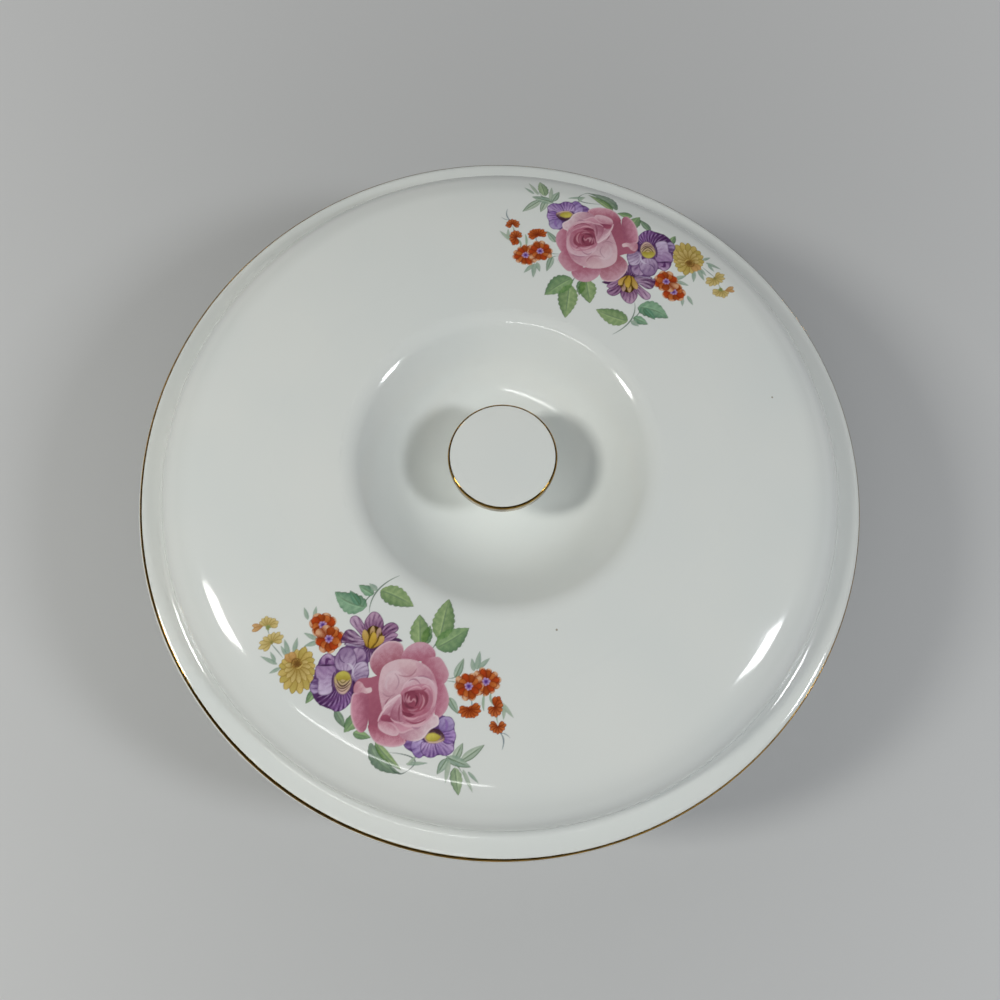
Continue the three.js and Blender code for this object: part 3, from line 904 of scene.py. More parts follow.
def draw_orange_flowers(p):
    """Small double flowers, two left and two right of the rose, and three half-open ones below these."""
    draw_orange_flower(p, (-23.7, 21.1), 3.9, (20, 62, 108, 150, 196, 236, 262))
    draw_orange_flower(p, (-21.7, 16.8), 4.2, (14, 48, 78, 200, 238, 272, 306, 342))
    draw_orange_flower(p, (25.1, 3.2), 4.1, range(8, 368, 33))
    draw_orange_flower(p, (20.0, 1.9), 4.1, range(0, 360, 36))
    p.daisy((20.4, -5.6), 1.9, 5, "#98380F", "#C65A20")
    p.fan((20.3, -4.9), (
        (172, 3.2), (196, 3.6), (222, 3.4), (248, 3.0), (272, 2.8), (298, 3.0), (322, 3.2), (348, 3.4),
        (14, 3.3), (32, 3.0)
    ), 1.6, "#8E320C", "#E07838", "#76280A", 1.7)
    p.fan((27.6, -4.6), ((68, 3.8), (88, 3.4), (48, 3.0)), 1.8, "#8E300C", "#D86A30", "#76280A", 1.6)
    p.fan((27.9, -4.4), (
        (196, 2.52), (222, 2.94), (246, 3.15), (270, 3.15), (296, 2.73), (330, 2.31), (20, 2.31)
    ), 1.5, "#96360E", "#E48A50", "#76280A", 1.6)
    p.fan((28.5, -10.0), (
        (150, 2.52), (178, 2.73), (206, 2.73), (236, 2.52), (266, 2.52), (298, 2.31), (332, 2.31),
        (8, 2.52), (34, 2.1)
    ), 1.4, "#96360E", "#E2874A", "#76280A", 1.6)


def draw_star_flower(p):
    """The violet flower above the rose: pointed, veined petals round an ochre throat with stamens."""
    p.shape(((-12.4, 15), (-11.4, 19), (-8.6, 20.6), (-5.4, 19), (-4.6, 15.6), (-7.6, 12), (-9.8, 9.4),
             (-12.2, 10.4), (-12.8, 12.8)), "#4A2850", "#6A4470", 90)
    petals = (
        (((-11.6, 13.4), (-9.8, 13.8), (-8, 13), (-8.4, 11.4), (-9.2, 9.8), (-10.6, 9.2), (-11.8, 10.8)),
         "#5A3460", "#A98AAE", 250, 24, 0.7),
        (((-17.2, 15.1), (-15, 15.9), (-12.6, 15.2), (-11, 14), (-12.4, 13.3), (-14.8, 13.8)),
         "#8A7492", "#C3B4CC", 180, 26, 0.4),
        (((-11, 14.6), (-13, 14.8), (-16.2, 15.4), (-18, 15.6), (-17.5, 18), (-16.4, 19.5), (-14.4, 19.4),
          (-12.4, 17.6), (-10.8, 16)), "#643A62", "#BEA2BE", 20, 30, 0.85),
        (((-10.4, 15.8), (-11.8, 17.2), (-13.6, 19.4), (-15.5, 21.6), (-15.3, 23.3), (-13.8, 23.9),
          (-12.2, 22.8), (-10.9, 20.4), (-10.1, 18)), "#86587F", "#C8A8C4", 150, 34, 0.5),
        (((-10.8, 19.4), (-11.2, 21.8), (-10, 24), (-8.6, 25.1), (-7, 24.6), (-5.7, 22.8), (-5.3, 20.6),
          (-6.4, 19.4), (-8.6, 19.6)), "#7E5078", "#C6A2BC", 100, 38, 0.42),
        (((-6.8, 16.2), (-6.2, 19.2), (-4.8, 21), (-2.8, 21.7), (-1.2, 20.8), (-0.9, 19.4), (-2.2, 18.2),
          (-4.4, 17.2)), "#64345E", "#A2789C", 70, 34, 0.8),
        (((-6.6, 14.8), (-4.8, 17.1), (-2.6, 18.5), (-1, 17.9), (-1.8, 16.6), (-4.2, 15.2)),
         "#8C6088", "#BE98B8", 40, 30, 0.5),
        (((-6.2, 14.6), (-3.6, 15.8), (-1.4, 16.9), (0.4, 15.8), (-2, 15.3), (-4, 14.8)),
         "#402048", "#5C3860", 60, 20, 0.3),
    )
    p.veined((-8.7, 15.2), "#43244A", petals)
    throat = ((-11, 16), (-10.4, 19), (-9, 20.6), (-7, 20.2), (-5.6, 17.8), (-5.9, 15.4), (-8.2, 13.7),
              (-10.6, 14.3))
    p.shape(throat, "#4A340E", "#785A1E", 270)
    p.petal((-10.2, 14.2), 100, 5.4, 1.9, "#B0882E", "#D9B878")
    p.petal((-9.0, 16.0), 84, 4.6, 1.5, "#A98038", "#D4B48C")
    p.petal((-7.4, 16.6), 74, 3.6, 1.4, "#A8846A", "#D0AC9C")
    p.petal((-8.2, 13.9), 50, 4.6, 2.1, "#B98E36", "#E0BC72")
    p.petal((-9.4, 13.6), 76, 5.2, 2.4, "#B88E2E", "#DDBA4E")
    p.stroke(((-8.0, 14.6), (-7.0, 16.4), (-6.6, 18.4)), 0.4, "#4A340E", 0.8)
    p.stroke(((-9.9, 14.8), (-9.6, 16.8), (-8.6, 18.9)), 0.4, "#4A340E", 0.8)


def draw_round_flower(p):
    """The violet flower left of the rose: broad, pale petals round a yellow eye."""
    p.shape(((-25, 8.6), (-24, 11), (-22, 12.4), (-19.6, 11.6), (-18, 14), (-15, 14.5), (-10.6, 13.2),
             (-9.6, 8), (-9.8, 4.6), (-13.4, 0.4), (-15, -2.6), (-19, -4.8), (-24.4, -2.8), (-26.4, 0.8),
             (-26, 5)), "#553262", "#6E4A7C", 90)
    petals = (
        (((-24.6, -0.2), (-22, 0.8), (-19.4, 1.4), (-17, 0.2), (-14.7, 1), (-14.5, -1.8), (-15.6, -3.6),
          (-17.4, -4.9), (-19.4, -5.2), (-21, -4.2), (-22, -3.3), (-23.8, -3.4), (-24.7, -2)),
         "#4C2656", "#8E62A0", 320, 40, 0.95),
        (((-27.1, 1.6), (-26.7, 3.8), (-25.2, 5), (-23.8, 4.4), (-23.6, 1.6), (-24.6, 0.4), (-26, 0.2)),
         "#5E3C70", "#BAA4CC", 235, 30, 0.5),
        (((-14.6, 13.4), (-12.8, 14.1), (-10.8, 13), (-10.2, 11.2), (-11, 9.4), (-13, 9.2), (-14.2, 11)),
         "#8C6894", "#BEA2C2", 90, 34, 0.36),
        (((-15, 5.4), (-14.4, 8), (-13, 9.5), (-11, 9.9), (-9.7, 8.4), (-9.5, 6), (-10.4, 4.4), (-12.6, 3.6),
          (-14.2, 3.8)), "#94789E", "#D0BED8", 80, 34, 0.3),
        (((-23.9, 8.8), (-23.9, 10.9), (-22.4, 12.3), (-20.6, 12), (-19.3, 10), (-19.2, 8.2), (-21.4, 8)),
         "#80548A", "#C6A8CC", 80, 26, 0.4),
        (((-25.3, 5.2), (-25.6, 7.6), (-24.8, 9), (-22.6, 9.1), (-20.4, 8.9), (-19.2, 7.6), (-19.7, 5),
          (-19.9, 2.2), (-20.6, 0.3), (-22.6, -0.4), (-24.4, 0.2), (-24.7, 2.6), (-24.6, 4.4)),
         "#A07CAA", "#D4C2DE", 262, 22, 0.14),
        (((-19.7, 8.4), (-19.9, 10.6), (-18.8, 12.9), (-16.8, 14.3), (-14.6, 13.8), (-13.4, 11.4),
          (-13.3, 9.2), (-14.6, 7.2), (-17, 6.8), (-19, 7.4)), "#92739C", "#C6B0CE", 300, 26, 0.26),
    )
    p.veined((-17.2, 3.8), "#472856", petals)
    p.strokes((
        (((-22.4, 8.6), (-22.0, 10.4), (-21.0, 10.4)), 1.0, "#5A2E64", 0.8),
        (((-25.2, 8.9), (-22.4, 8.7), (-19.8, 8.9)), 0.5, "#3E2148", 0.8),
        (((-18.4, 12.2), (-18.0, 10.4), (-16.8, 9.4)), 0.4, "#5A3A68", 0.7),
        (((-16.0, 9.2), (-14.8, 8.4), (-14.4, 6.8)), 0.6, "#D8CCE0", 0.85),
        (((-14.8, 8.8), (-14.2, 7.4), (-14.6, 5.4)), 0.5, "#D8CCE0", 0.75),
        (((-13.4, 8.6), (-14.2, 6.4), (-13.6, 4.6)), 0.45, "#D3C6DE", 0.7),
    ))
    eye = ((-19.9, 4), (-19.3, 6), (-17.2, 7.1), (-15.2, 6.2), (-14.5, 4), (-15, 1.8), (-16.2, 0.2),
           (-17.4, -0.1), (-18.9, 1))
    p.shape(eye, "#DDBCB4", "#BDAA5C", 90, line="#6E5058")
    p.shape(((-19.3, 4.7), (-18.8, 6.2), (-17.2, 6.9), (-15.6, 6.2), (-15, 4.7), (-16, 4), (-17.2, 4.4),
             (-18.4, 4)), "#AE9C3C", "#CDC25A", 90)
    p.strokes((
        (((-19.0, 4.4), (-17.3, 2.4), (-15.1, 4.2)), 0.5, "#4E3430"),
        (((-19.3, 3.2), (-17.4, 1.7), (-15.0, 3.2)), 0.45, "#634640"),
        (((-19.0, 2.2), (-17.4, 0.9), (-15.4, 2.2)), 0.4, "#7A5854", 0.8),
        (((-18.2, 4.4), (-17.2, 3.4), (-16.0, 4.4)), 0.35, "#6E5A30"),
        (((-20.1, 1.4), (-20.3, 4.0), (-19.8, 6.6)), 0.6, "#43244C", 0.8),
        (((-14.3, -0.4), (-13.7, 1.6), (-14.0, 4.0)), 0.9, "#3E1E48", 0.85),
    ))


def draw_small_flower(p):
    """The violet flower below the rose, half hidden by it."""
    p.shape(((1, -13.6), (6, -12), (10, -8), (10.2, -6.4), (13, -6.8), (15.4, -8.8), (15.9, -12.4),
             (15.4, -16.4), (12, -18.2), (7, -18.6), (3, -17.2)), "#4C2E60", "#6A4A80", 60)
    petals = (
        (((0.7, -13.3), (3.6, -13.2), (4.2, -15.2), (3.2, -17), (1.6, -16.3), (0.8, -15)),
         "#6A4886", "#A284BE", 120, 24, 0.4),
        (((3.4, -14), (5.2, -13.2), (7.2, -14.4), (7, -16.6), (6.6, -18.6), (5.2, -19.2), (3.8, -18.2),
          (3.1, -16.2)), "#8A6AAC", "#C8B2DE", 75, 24, 0.36),
        (((6.2, -14.4), (8.4, -14.6), (10.9, -15.2), (11.3, -17.4), (9.8, -19), (7.6, -18.9), (6, -17.2)),
         "#8460A0", "#C6AAD8", 100, 30, 0.5),
        (((10.2, -14.6), (12.8, -14), (15.2, -14.8), (15.7, -16.8), (14, -18.4), (11.8, -18.4), (10.4, -17)),
         "#8C6AA8", "#CCB2DC", 60, 30, 0.42),
        (((12.2, -10.4), (14.8, -10.2), (16.2, -12), (15.9, -14.3), (14, -15.2), (12.4, -14.4),
          (11.8, -12.4)), "#7A549E", "#BE9ED6", 20, 28, 0.5),
        (((10.9, -9.8), (11.2, -7.8), (12.8, -6.9), (14.8, -7.2), (15.9, -9), (15.4, -10.9), (13.6, -11.5),
          (11.8, -11.2)), "#8E74AE", "#B8A6D0", 60, 18, 0.15),
    )
    p.veined((9.8, -12.4), "#472A60", petals)
    p.stroke(((13.0, -7.8), (13.6, -9.4), (13.2, -11.0)), 0.9, "#8E68B0", 0.7)
    p.shape(((6.8, -12.8), (8, -11.2), (9.8, -10.5), (11.6, -11), (12.9, -12.8), (12.6, -14.2), (10, -14.8),
             (8, -14.6)), "#D4B49C", "#43283A", 70)
    p.shape(((7.4, -13), (8.4, -11.9), (10, -11.8), (11.7, -12.8), (11, -13.9), (9.6, -14.4), (8, -14.1)),
            "#B8A844", "#DACE62", 120, line="#A08A3C")
    p.stroke(((8.4, -14.4), (10.4, -14.6), (12.6, -13.6)), 0.5, "#DDBFA8", 0.9)


def draw_rose(p):
    """The rose: outer petals, cup, the fine folds of its heart, and the petal that turns over in front."""
    deep, dusk, mid, pale, lit = "#9C4F66", "#B2667C", "#C58396", "#D3A0AF", "#E3C0CA"
    p.shape(((-9, 4.9), (-12.4, 4.5), (-14, 2), (-13, -0.5), (-10, -1), (-9.4, -9.6), (-7.4, -13.4),
             (-3, -15.3), (1, -15), (3, -10), (-2, -6), (-3, 1), (-4, 6)), deep, dusk, 120)
    p.shape(((-7.4, 5.6), (-9.3, 8.5), (-8.8, 11.6), (-6.5, 14.4), (-3.5, 15.9), (-0.2, 15.3), (0.8, 12.8),
             (0.4, 10), (-3, 8.4), (-5.3, 6)), "#A95E70", "#D4A6B4", 115, rim="#EACBD3")
    p.shape(((0, 10.8), (1.5, 13.7), (4.5, 15.4), (7.6, 15.1), (9.8, 13.2), (10.2, 10.8), (8.5, 9.4),
             (5, 9.6), (2, 9.8)), dusk, "#D6A9B9", 95, rim=pale)
    p.shape(((6, 9.6), (9, 10.8), (11.5, 10.7), (13.3, 8.2), (14.2, 5.4), (13, 2.9), (10.6, 2.4), (8.6, 4.6),
             (7, 7.5)), dusk, "#D09BAA", 30, rim=pale)
    p.shape(((9.6, 4.2), (12.3, 3.4), (13.8, 0.5), (14.2, -2.5), (13.2, -5.6), (10.5, -7.4), (9.4, -3),
             (9.8, 0.5)), "#AF5D76", "#D296A9", 350, rim=pale)
    p.shape(((-13, 3.7), (-11.6, 3.4), (-10.4, 1.8), (-8.8, 1.9), (-8.6, 0.6), (-10.5, 0), (-13.4, 0),
             (-14, 1.4)), mid, "#E9CDD1", 20)
    p.shape(((-14.4, -0.4), (-12.5, 0.4), (-9.9, -0.2), (-9.3, -3), (-9.5, -7), (-10, -10.4), (-11.8, -11.5),
             (-13.6, -9.6), (-14.8, -5.5)), "#A55A72", "#D898AC", 185, rim=lit)
    p.shape(((-9.6, -9.4), (-7, -9.6), (-3, -11.6), (0.4, -12.2), (1.4, -14.8), (-2, -15.9), (-6, -15.2),
             (-8.4, -13.2)), "#A9566E", "#DBA3B2", 265, rim=lit)
    p.shape(((-0.4, -11.4), (3, -10), (6.5, -9), (9.3, -6.6), (11, -7), (11.1, -9.4), (8.6, -11),
             (6.6, -13.4), (4, -14.2), (0.8, -13.4)), "#C2899C", "#E8D0D6", 330, rim="#EFDDE0")
    p.shape(((-6.5, -8.4), (-4.4, -7.8), (-2.3, -8.8), (-0.4, -11.5), (-1.6, -12.6), (-4.3, -11.9),
             (-6.3, -10.4)), mid, "#E5BFCA", 250, rim=lit)
    p.shape(((-6.8, -8.2), (-5.6, -5.6), (-4, -3.6), (0, -6), (4, -6), (8.4, -5), (9.8, -1.6), (10.6, -0.5),
             (10.5, -4), (9.2, -7.2), (6.4, -9.6), (3, -10.9), (0, -11.8), (-2, -9.6), (-4.4, -8.4)),
            "#AD6079", "#D9A0B1", 285, rim=lit)
    p.shape(((-6.4, 4.4), (-5.4, 7.9), (-2.6, 9.8), (1, 10.4), (4.6, 9.8), (8, 7.8), (10, 4.8), (10.8, 1),
             (10.4, -3.2), (8.4, -6.6), (4.8, -8.4), (1, -8.8), (-2.2, -8.4), (-4.8, -6.6), (-5.8, -3),
             (-6.5, 1)), "#BE7E92", "#E2C2CA", 125)
    p.shape(((-1, 9.6), (2.4, 10), (4.5, 8.8), (4.9, 6.8), (2.8, 5.4), (0.6, 6.8)), "#CE9EAA", "#E4C4CA", 90)
    p.shape(((4.4, 9.2), (7.4, 7.6), (9.3, 5), (9.6, 3), (6.6, 4.6), (3.4, 4.6), (4.9, 6.6)),
            "#C08598", "#D9AEBA", 120)
    p.shape(((-5.4, 2.4), (-4, 5.6), (-1.5, 7), (0.6, 5.2), (1.6, 2.4), (0.4, -0.6), (-2.6, -1.4),
             (-4.8, -0.4)), "#CC9CAA", "#E6CAD2", 100)
    p.shape(((0.6, 2.2), (3.4, 4.6), (7, 5), (9.8, 3), (10.6, 0), (10, -4), (8, -7), (4, -8.4), (0.6, -7.8),
             (0, -3)), "#BE798E", "#E0B9C5", 75, rim="#E8CBD4")
    p.shape(((0.4, 0.9), (3, 2.2), (6.6, 2.8), (9, 1.5), (9.8, -1.6), (8.8, -4.6), (6, -7), (2.4, -7.2),
             (-0.2, -5.6), (-0.6, -2.4)), "#B3627A", "#CC8DA0", 70)
    p.shape(((0.8, -0.1), (3.5, 0.9), (6.6, 0.8), (8.2, -0.8), (7.8, -3.2), (6.1, -5.2), (3.2, -6.2),
             (1, -5.2), (0.2, -2.5)), "#8A3F55", "#A9566C", 320)
    folds = (
        (((1.0, 0.2), (0.9, -1.6), (1.6, -3.6)), 0.6, "#BC7C90"),
        (((1.9, -0.2), (1.6, -1.8), (2.3, -2.9)), 0.5, "#C88E9E"),
        (((2.6, -0.9), (2.4, -2.2), (3.3, -2.4)), 0.8, "#D59FAC"),
        (((3.2, -2.4), (3.9, -1.8), (4.4, -2.5)), 0.7, "#CF95A3"),
        (((4.4, -0.6), (4.9, -2.0), (4.3, -3.8)), 0.6, "#6E3042"),
        (((1.2, -2.6), (2.0, -3.9), (3.8, -4.3)), 0.7, "#7A384A"),
        (((2.2, -4.7), (3.4, -5.1), (4.9, -4.6)), 0.6, "#BE8092"),
        (((5.4, 0.0), (5.9, -1.8), (5.3, -3.8)), 0.7, "#B06C80"),
        (((6.3, -0.6), (6.8, -2.6), (5.7, -4.8)), 0.6, "#D097A5"),
        (((7.0, 0.2), (7.7, -1.8), (7.0, -3.8)), 0.8, "#91495C"),
        (((8.2, 0.8), (8.9, -1.6), (7.9, -4.4)), 1.0, "#B8788C"),
        (((9.3, 1.0), (9.9, -1.6), (9.0, -4.4)), 0.7, "#D9AAB6"),
        (((0.4, -5.2), (2.2, -6.4), (4.6, -5.8)), 1.2, "#84394F"),
        (((3.0, -5.7), (5.0, -5.9), (6.8, -4.9)), 0.7, "#C07A8E"),
        (((0.9, -6.6), (3.0, -7.6), (5.2, -7.0)), 0.7, "#E0AAB8"),
        (((4.6, -7.0), (6.2, -6.8), (7.8, -5.8)), 0.6, "#D298A8"),
        (((1.6, -7.9), (4.4, -8.9), (7.4, -7.6)), 0.6, "#9C4C64"),
        (((0.0, -8.9), (3.4, -9.7), (7.0, -8.4)), 0.8, "#E4BAC6"),
        (((3.4, -10.0), (4.6, -10.4), (5.8, -10.0)), 0.6, "#B9849A"),
        (((2.2, 0.9), (4.4, 1.9), (6.0, 1.4)), 0.5, "#E0B4C0"),
        (((4.2, 0.9), (5.6, 0.5), (7.4, 1.4)), 0.7, "#A05468"),
        (((6.4, 1.9), (7.6, 2.1), (8.8, 1.0)), 0.5, "#E2B8C4"),
        (((1.8, 2.7), (4.4, 4.5), (7.4, 4.4)), 0.8, "#E0C2CC"),
        (((2.4, 3.7), (4.2, 4.2), (5.8, 2.6)), 0.5, "#B47C90"),
        (((9.2, 3.9), (10.4, 1.6), (10.2, -1.6)), 0.7, "#DEB2C0"),
        (((5.0, 5.0), (7.0, 5.0), (9.0, 4.0)), 0.45, "#B27890"),
        (((-0.6, 5.6), (2.6, 5.2), (4.6, 7.4)), 0.5, "#B9808F"),
        (((-5.4, 0.4), (-3.8, -0.8), (-1.8, -0.2)), 0.4, "#B28090"),
        (((-4.6, 4.8), (-3.2, 6.4), (-1.6, 6.8)), 0.45, "#DEC4CC"),
        (((-3.9, 0.9), (-4.4, 3.0), (-3.4, 4.8)), 0.45, "#DCC0CA"),
        (((-1.6, 1.2), (-0.6, 3.6), (-1.8, 6.0)), 0.4, "#BC90A0"),
        (((-3.0, -1.2), (-4.2, -2.4), (-4.6, -4.0)), 0.4, "#A06478"),
    )
    for fold in folds:
        p.stroke(*fold, 0.85)
    p.shape(((-5, -6.6), (-4.9, -3.8), (-2.5, -1.5), (-0.1, -0.2), (-0.4, -2.4), (-1.9, -4.6), (-3.3, -5.8)),
            "#BD8195", "#E8C6D0", 125, rim="#EFD5DB")
    p.shape(((-2.6, -4.8), (-1.3, -2.3), (0.2, -0.8), (0.3, -4), (0.6, -7), (0.4, -8.6), (-1.3, -8.6),
             (-3, -7)), "#A9647B", "#D8A7B6", 30)
    p.shape(((-5.2, -6.4), (-3.6, -6.4), (-1.6, -8.3), (-3.6, -8.4), (-5.8, -7.8)), "#944660", "#A9566E", 100)
    p.stroke(((-6.6, -8.2), (-5.4, -5.6), (-3.4, -3.4)), 0.6, "#ECCBD3", 0.9)
    p.stroke(((-2.9, -7.2), (-1.5, -8.4), (0.8, -8.7)), 0.5, "#E3B9C5", 0.9)
    p.stroke(((-0.1, -3.2), (-0.5, -5.6), (-0.3, -8.2)), 0.45, "#8F455C", 0.7)


def print_spray(u, v):
    """The whole spray, each flower over those that are drawn before it."""
    p = Transfer(u, v)
    draw_leaves(p)
    draw_yellow_flowers(p)
    draw_orange_flowers(p)
    draw_star_flower(p)
    draw_round_flower(p)
    draw_small_flower(p)
    draw_rose(p)
    return p


class COVERED_BOWL_OT_throw_bowl(bpy.types.Operator):
    """Make the bowl: foot ring, body and flat rim, turned in one piece"""
    bl_idname = "covered_bowl.throw_bowl"
    bl_label = "Bowl"

    def execute(self, context):
        look = context.scene.covered_bowl
        mesh = spun(bowl_profile(look.bowl), LARGE_SEGMENTS)
        # The ground of the foot ring is bare clay, the second of the bowl's materials.
        for face in mesh.faces:
            if face.calc_center_median().z < look.bowl.glaze_line:
                face.material_index = 1
        finishes = (clear_glazed_earthenware, earthenware_biscuit)
        materials = [made_of(finish, look.finishes) for finish in finishes]
        add_piece(mesh, "glazed_bowl", "bowl", materials, "bowl")
        return {"FINISHED"}


class COVERED_BOWL_OT_throw_lid(bpy.types.Operator):
    """Make the lid: lip, flat flange, shoulder, dome, sunk well and the ring that keeps it in the mouth"""
    bl_idname = "covered_bowl.throw_lid"
    bl_label = "Lid"

    def execute(self, context):
        look = context.scene.covered_bowl
        section = LidSection(look.lid)
        mouth = look.bowl.rim_radius - look.bowl.rim_width
        mesh = spun(section.profile(mouth), LARGE_SEGMENTS)
        glaze = [made_of(clear_glazed_earthenware, look.finishes)]
        add_piece(mesh, "glazed_lid", "lid", glaze, "lid")
        return {"FINISHED"}


class COVERED_BOWL_OT_cast_knob(bpy.types.Operator):
    """Make the knob: a flared stem under a flat disc, with the fillet of slip that holds it"""
    bl_idname = "covered_bowl.cast_knob"
    bl_label = "Knob"

    def execute(self, context):
        look = context.scene.covered_bowl
        section = LidSection(look.lid)
        foot = section.flange_top + section.well_floor
        mesh = spun(knob_profile(look.knob, foot, KNOB_HIGH.z), KNOB_SEGMENTS)
        glaze = [made_of(clear_glazed_earthenware, look.finishes)]
        add_piece(mesh, "glazed_knob", "lid", glaze, "knob")
        return {"FINISHED"}


class COVERED_BOWL_OT_gild_edges(bpy.types.Operator):
    """Lay the two gold bands: round the lid's lip and over the edge of the knob"""
    bl_idname = "covered_bowl.gild_edges"
    bl_label = "Gilding"

    def execute(self, context):
        look = context.scene.covered_bowl
        gold = [made_of(burnished_bright_gold, look.finishes)]
        self.gild_lip(look, gold)
        self.gild_knob(look, gold)
        return {"FINISHED"}

    def gild_lip(self, look, gold):
        """A level band, whose points are then turned down round the lip by the dip and the brush's wander."""
        gilding = look.gilding
        lip = look.lid.flange_thickness / 2
        section = LidSection(look.lid)
        centre = (look.lid.radius - lip, section.flange_top - lip)
        low = math.degrees(gilding.lip_from)
        high = math.degrees(gilding.lip_to)
        inner = lip + gilding.lift
        outer = inner + gilding.thickness
        profile = [
            *arc(centre, outer, outer, low, high, ROUND_STEPS),
            *arc(centre, inner, inner, high, low, ROUND_STEPS),
        ]
        mesh = spun(profile, 2 * LARGE_SEGMENTS, closed=True)
        for vert in mesh.verts:
            round_axis = math.atan2(vert.co.y, vert.co.x)
            out = vert.co.xy.length - centre[0]
            up = vert.co.z - centre[1]
            turn = math.atan2(up, out)
            share = (gilding.lip_to - turn) / (gilding.lip_to - gilding.lip_from)
            wander = math.sin(3 * round_axis + 1) + 0.4 * math.sin(11 * round_axis)
            dip = gilding.lip_dip * (1 - math.cos(round_axis - gilding.lip_high_side)) / 2
            turn -= share * gilding.brush_wander * wander + dip
            reach = math.hypot(out, up)
            radius = centre[0] + reach * math.cos(turn)
            height = centre[1] + reach * math.sin(turn)
            vert.co = (radius * math.cos(round_axis), radius * math.sin(round_axis), height)
        add_piece(mesh, "gold_lip_band", "lid", gold, "lid_edge_gilding")

    def gild_knob(self, look, gold):
        gilding = look.gilding
        knob = look.knob
        edge = knob.edge_round
        corner = (knob.radius - edge, KNOB_HIGH.z - knob.crown - edge)
        inner = edge + gilding.lift
        outer = inner + gilding.thickness
        bottom = corner[1] - gilding.knob_depth
        profile = [
            (corner[0] + inner, bottom),
            (corner[0] + outer, bottom),
            *arc(corner, outer, outer, 0, 75, ROUND_STEPS),
            *arc(corner, inner, inner, 75, 0, ROUND_STEPS),
        ]
        mesh = spun(profile, 2 * KNOB_SEGMENTS, closed=True)
        add_piece(mesh, "gold_knob_band", "lid", gold, "knob_edge_gilding")


class COVERED_BOWL_OT_lay_sprays(bpy.types.Operator):
    """Lay the same printed spray twice on the lid's shoulder, in front and behind"""
    bl_idname = "covered_bowl.lay_sprays"
    bl_label = "Flower Sprays"

    def execute(self, context):
        look = context.scene.covered_bowl
        spray = look.spray
        low, high = np.array(PRINT_CORNERS)
        cells = np.ceil((high - low) * (spray.scale_across, spray.scale_up) * MM / spray.cell).astype(int)
        columns, rows = np.meshgrid(*(np.linspace(low[k], high[k], cells[k] + 1) for k in (0, 1)))
        drawn = print_spray(columns.ravel(), rows.ravel())
        self.lay(look, drawn, cells, "spray_front", spray.front_across, spray.front_along, spray.front_turn)
        self.lay(look, drawn, cells, "spray_back", spray.back_across, spray.back_along, spray.back_turn)
        return {"FINISHED"}

    def lay(self, look, drawn, cells, name, across, along, turn):
        """A fine grid with the print's colours, wrapped over the dome and cut close round the flowers."""
        spray = look.spray
        mesh = bmesh.new()
        mesh.loops.layers.uv.new("OFBake")
        bmesh.ops.create_grid(mesh, x_segments=int(cells[0]), y_segments=int(cells[1]), size=1, calc_uvs=True)
        flat = np.array([vert.co for vert in mesh.verts])
        order = np.lexsort((np.round(flat[:, 0], 6), np.round(flat[:, 1], 6)))
        place = np.empty(len(order), int)
        place[order] = np.arange(len(order))
        u, v = drawn.u[place] * spray.scale_across * MM, drawn.v[place] * spray.scale_up * MM
        x = across + u * math.cos(turn) - v * math.sin(turn)
        y = along + u * math.sin(turn) + v * math.cos(turn)
        radius, height = self.on_lid(look.lid, np.hypot(x, y), spray.lift)
        round_axis = np.arctan2(y, x)
        ink = mesh.verts.layers.float_color.new("ink")
        colours, cover = linear(drawn.colour)[place], drawn.cover[place]
        for k, vert in enumerate(mesh.verts):
            vert.co = (radius[k] * math.cos(round_axis[k]), radius[k] * math.sin(round_axis[k]), height[k])
            vert[ink] = (*colours[k], cover[k])
        bare = [face for face in mesh.faces if max(vert[ink][3] for vert in face.verts) < BARE_COVER]
        bmesh.ops.delete(mesh, geom=bare, context="FACES")
        bmesh.ops.recalc_face_normals(mesh, faces=mesh.faces)
        add_piece(mesh, name, "lid", [made_of(spray_enamel, look.finishes)])

    def on_lid(self, lid, reach, lift):
        """Radius and height on the lid's upper face, where reach runs along the dome's section."""
        section = LidSection(lid)
        face = np.array(section.upper_face())
        steps = np.hypot(*np.diff(face, axis=0).T)
        run = np.concatenate([[0], np.cumsum(steps)])
        keep = np.concatenate([[True], steps > 0])
        face, run = face[keep], run[keep]
        start = np.interp(-DATUM_RADIUS, -face[:, 0], run)
        where = start - (reach - DATUM_RADIUS)
        slope = np.gradient(face, run, axis=0)
        radial, rise = np.interp(where, run, slope[:, 0]), np.interp(where, run, slope[:, 1])
        radius = np.interp(where, run, face[:, 0]) + lift * rise
        height = np.interp(where, run, face[:, 1]) - lift * radial
        return radius, height + section.flange_top


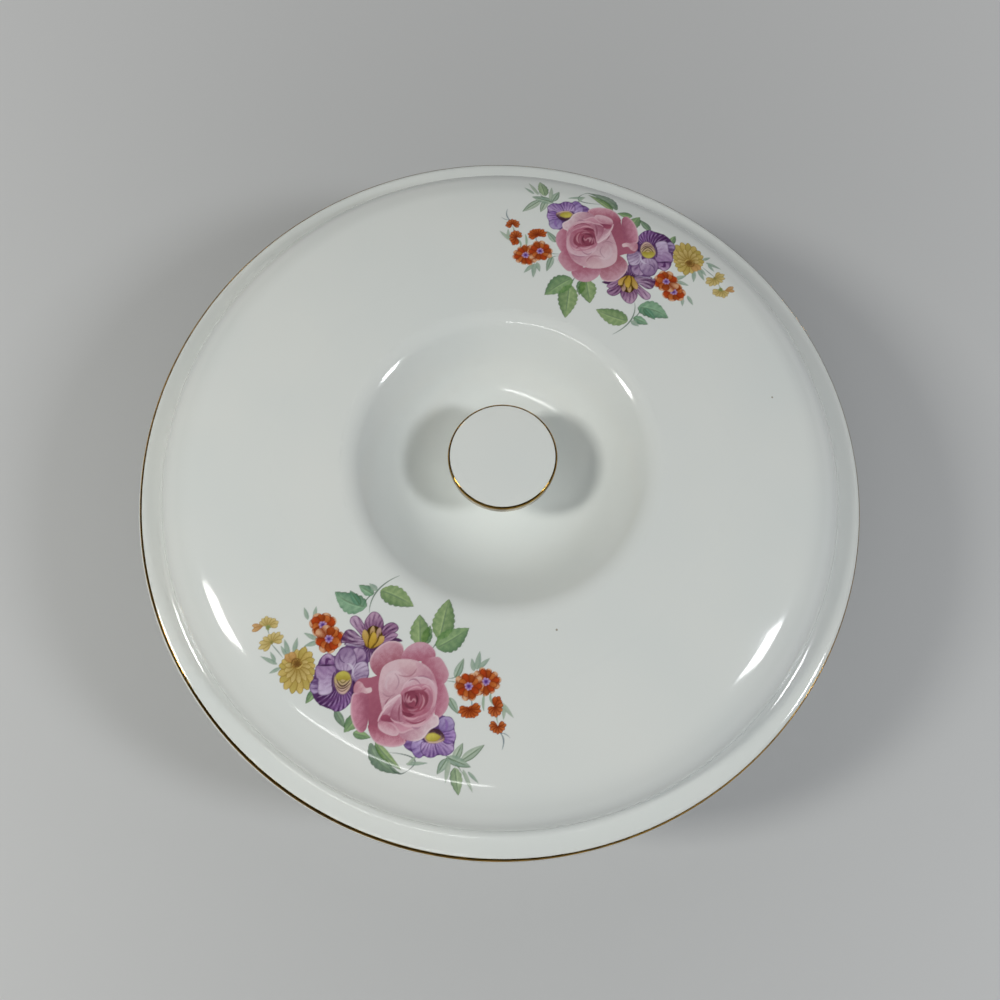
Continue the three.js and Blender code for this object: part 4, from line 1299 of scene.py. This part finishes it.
class COVERED_BOWL_OT_set_stage(bpy.types.Operator):
    """Set the floor, two soft lamps and a lamp tube, the light from all round and the camera"""
    bl_idname = "covered_bowl.set_stage"
    bl_label = "Stage"

    def execute(self, context):
        stage = context.scene.covered_bowl.stage
        self.lay_floor(stage)
        lamp = (stage.lamp_elevation, stage.lamp_distance, stage.lamp_width, stage.lamp_height)
        tube = (stage.tube_elevation, stage.tube_distance, stage.tube_length, stage.tube_height)
        self.hang_lamp("lamp_left", math.pi + stage.lamp_turn, *lamp, stage.left_power, stage.left_tint)
        self.hang_lamp("lamp_right", -stage.lamp_turn, *lamp, stage.right_power, stage.right_tint)
        self.hang_lamp("tube_near", -math.pi / 2 - stage.tube_turn, *tube, stage.tube_power)
        self.light_sky(context, stage)
        self.place_camera(context, stage)
        context.scene.view_settings.view_transform = "Standard"
        return {"FINISHED"}

    def lay_floor(self, stage):
        mesh = bmesh.new()
        bmesh.ops.create_grid(mesh, x_segments=1, y_segments=1, size=stage.floor_size / 2)
        mesh_object(mesh, "floor", [made_of(painted_board, stage)])

    def hang_lamp(self, name, turn, elevation, distance, width, height, watts, tint=(1, 1, 1)):
        data = bpy.data.lights.new(name, "AREA")
        data.shape = "RECTANGLE"
        data.size = width
        data.size_y = height
        data.energy = watts
        data.color = tint
        lamp = placed(name, data)
        level = math.cos(elevation)
        way = Vector((level * math.cos(turn), level * math.sin(turn), math.sin(elevation)))
        lamp.location = Vector((0, 0, LID_HIGH.z)) + distance * way
        lamp.rotation_euler = way.to_track_quat("Z", "Y").to_euler()

    def light_sky(self, context, stage):
        """Even light from all round, seen by the eye and in gloss as a pale backdrop under a dim ceiling."""
        world = bpy.data.worlds.new("studio")
        context.scene.world = world
        world.use_nodes = True
        tree = world.node_tree
        way = node(tree, "ShaderNodeTexCoord").outputs["Generated"]
        height = node(tree, "ShaderNodeSeparateXYZ", {0: way}).outputs["Z"]
        room = node(tree, "ShaderNodeMapRange", {
            "Value": height, "From Min": BACKDROP_TOP, "From Max": CEILING_FROM,
            "To Min": stage.backdrop, "To Max": stage.ceiling
        }, interpolation_type="SMOOTHSTEP")
        strength = node(tree, "ShaderNodeMix", {
            FACTOR: seen_or_mirrored(tree), NUMBER_A: stage.fill, NUMBER_B: room.outputs[0]
        })
        background = tree.nodes["Background"]
        background.inputs["Color"].default_value = rgba((1, 1, 1))
        tree.links.new(strength.outputs[MIXED_NUMBER], background.inputs["Strength"])

    def place_camera(self, context, stage):
        data = bpy.data.cameras.new("camera")
        data.lens = stage.lens
        data.clip_start = 10 * MM
        camera = placed("camera", data)
        camera.matrix_world = (
            Matrix.Translation((0, -stage.camera_setback, stage.camera_height))
            @ Matrix.Rotation(stage.camera_tilt, 4, "X")
            @ Matrix.Rotation(stage.camera_roll, 4, "Z")
        )
        context.scene.camera = camera


OPERATORS = (
    COVERED_BOWL_OT_throw_bowl,
    COVERED_BOWL_OT_throw_lid,
    COVERED_BOWL_OT_cast_knob,
    COVERED_BOWL_OT_gild_edges,
    COVERED_BOWL_OT_lay_sprays,
    COVERED_BOWL_OT_set_stage,
)


class COVERED_BOWL_PT_panel(bpy.types.Panel):
    """The steps that make the covered bowl"""
    bl_idname = "COVERED_BOWL_PT_panel"
    bl_label = "Covered Serving Bowl"
    bl_space_type = "VIEW_3D"
    bl_region_type = "UI"
    bl_category = "Bowl"

    def draw(self, context):
        column = self.layout.column(align=True)
        for operator in OPERATORS:
            column.operator(operator.bl_idname, text=operator.bl_label)


GROUPS = (BowlSizes, LidSizes, KnobSizes, GildingSizes, SpraySizes, Finishes, StageSizes, CoveredBowl)
CLASSES = GROUPS + OPERATORS + (COVERED_BOWL_PT_panel,)


def register():
    for item in CLASSES:
        bpy.utils.register_class(item)
    bpy.types.Scene.covered_bowl = PointerProperty(type=CoveredBowl)


def unregister():
    del bpy.types.Scene.covered_bowl
    for item in reversed(CLASSES):
        bpy.utils.unregister_class(item)


def main():
    register()
    bpy.ops.covered_bowl.throw_bowl()
    bpy.ops.covered_bowl.throw_lid()
    bpy.ops.covered_bowl.cast_knob()
    bpy.ops.covered_bowl.gild_edges()
    bpy.ops.covered_bowl.lay_sprays()
    bpy.ops.covered_bowl.set_stage()


if __name__ == "__main__":
    main()
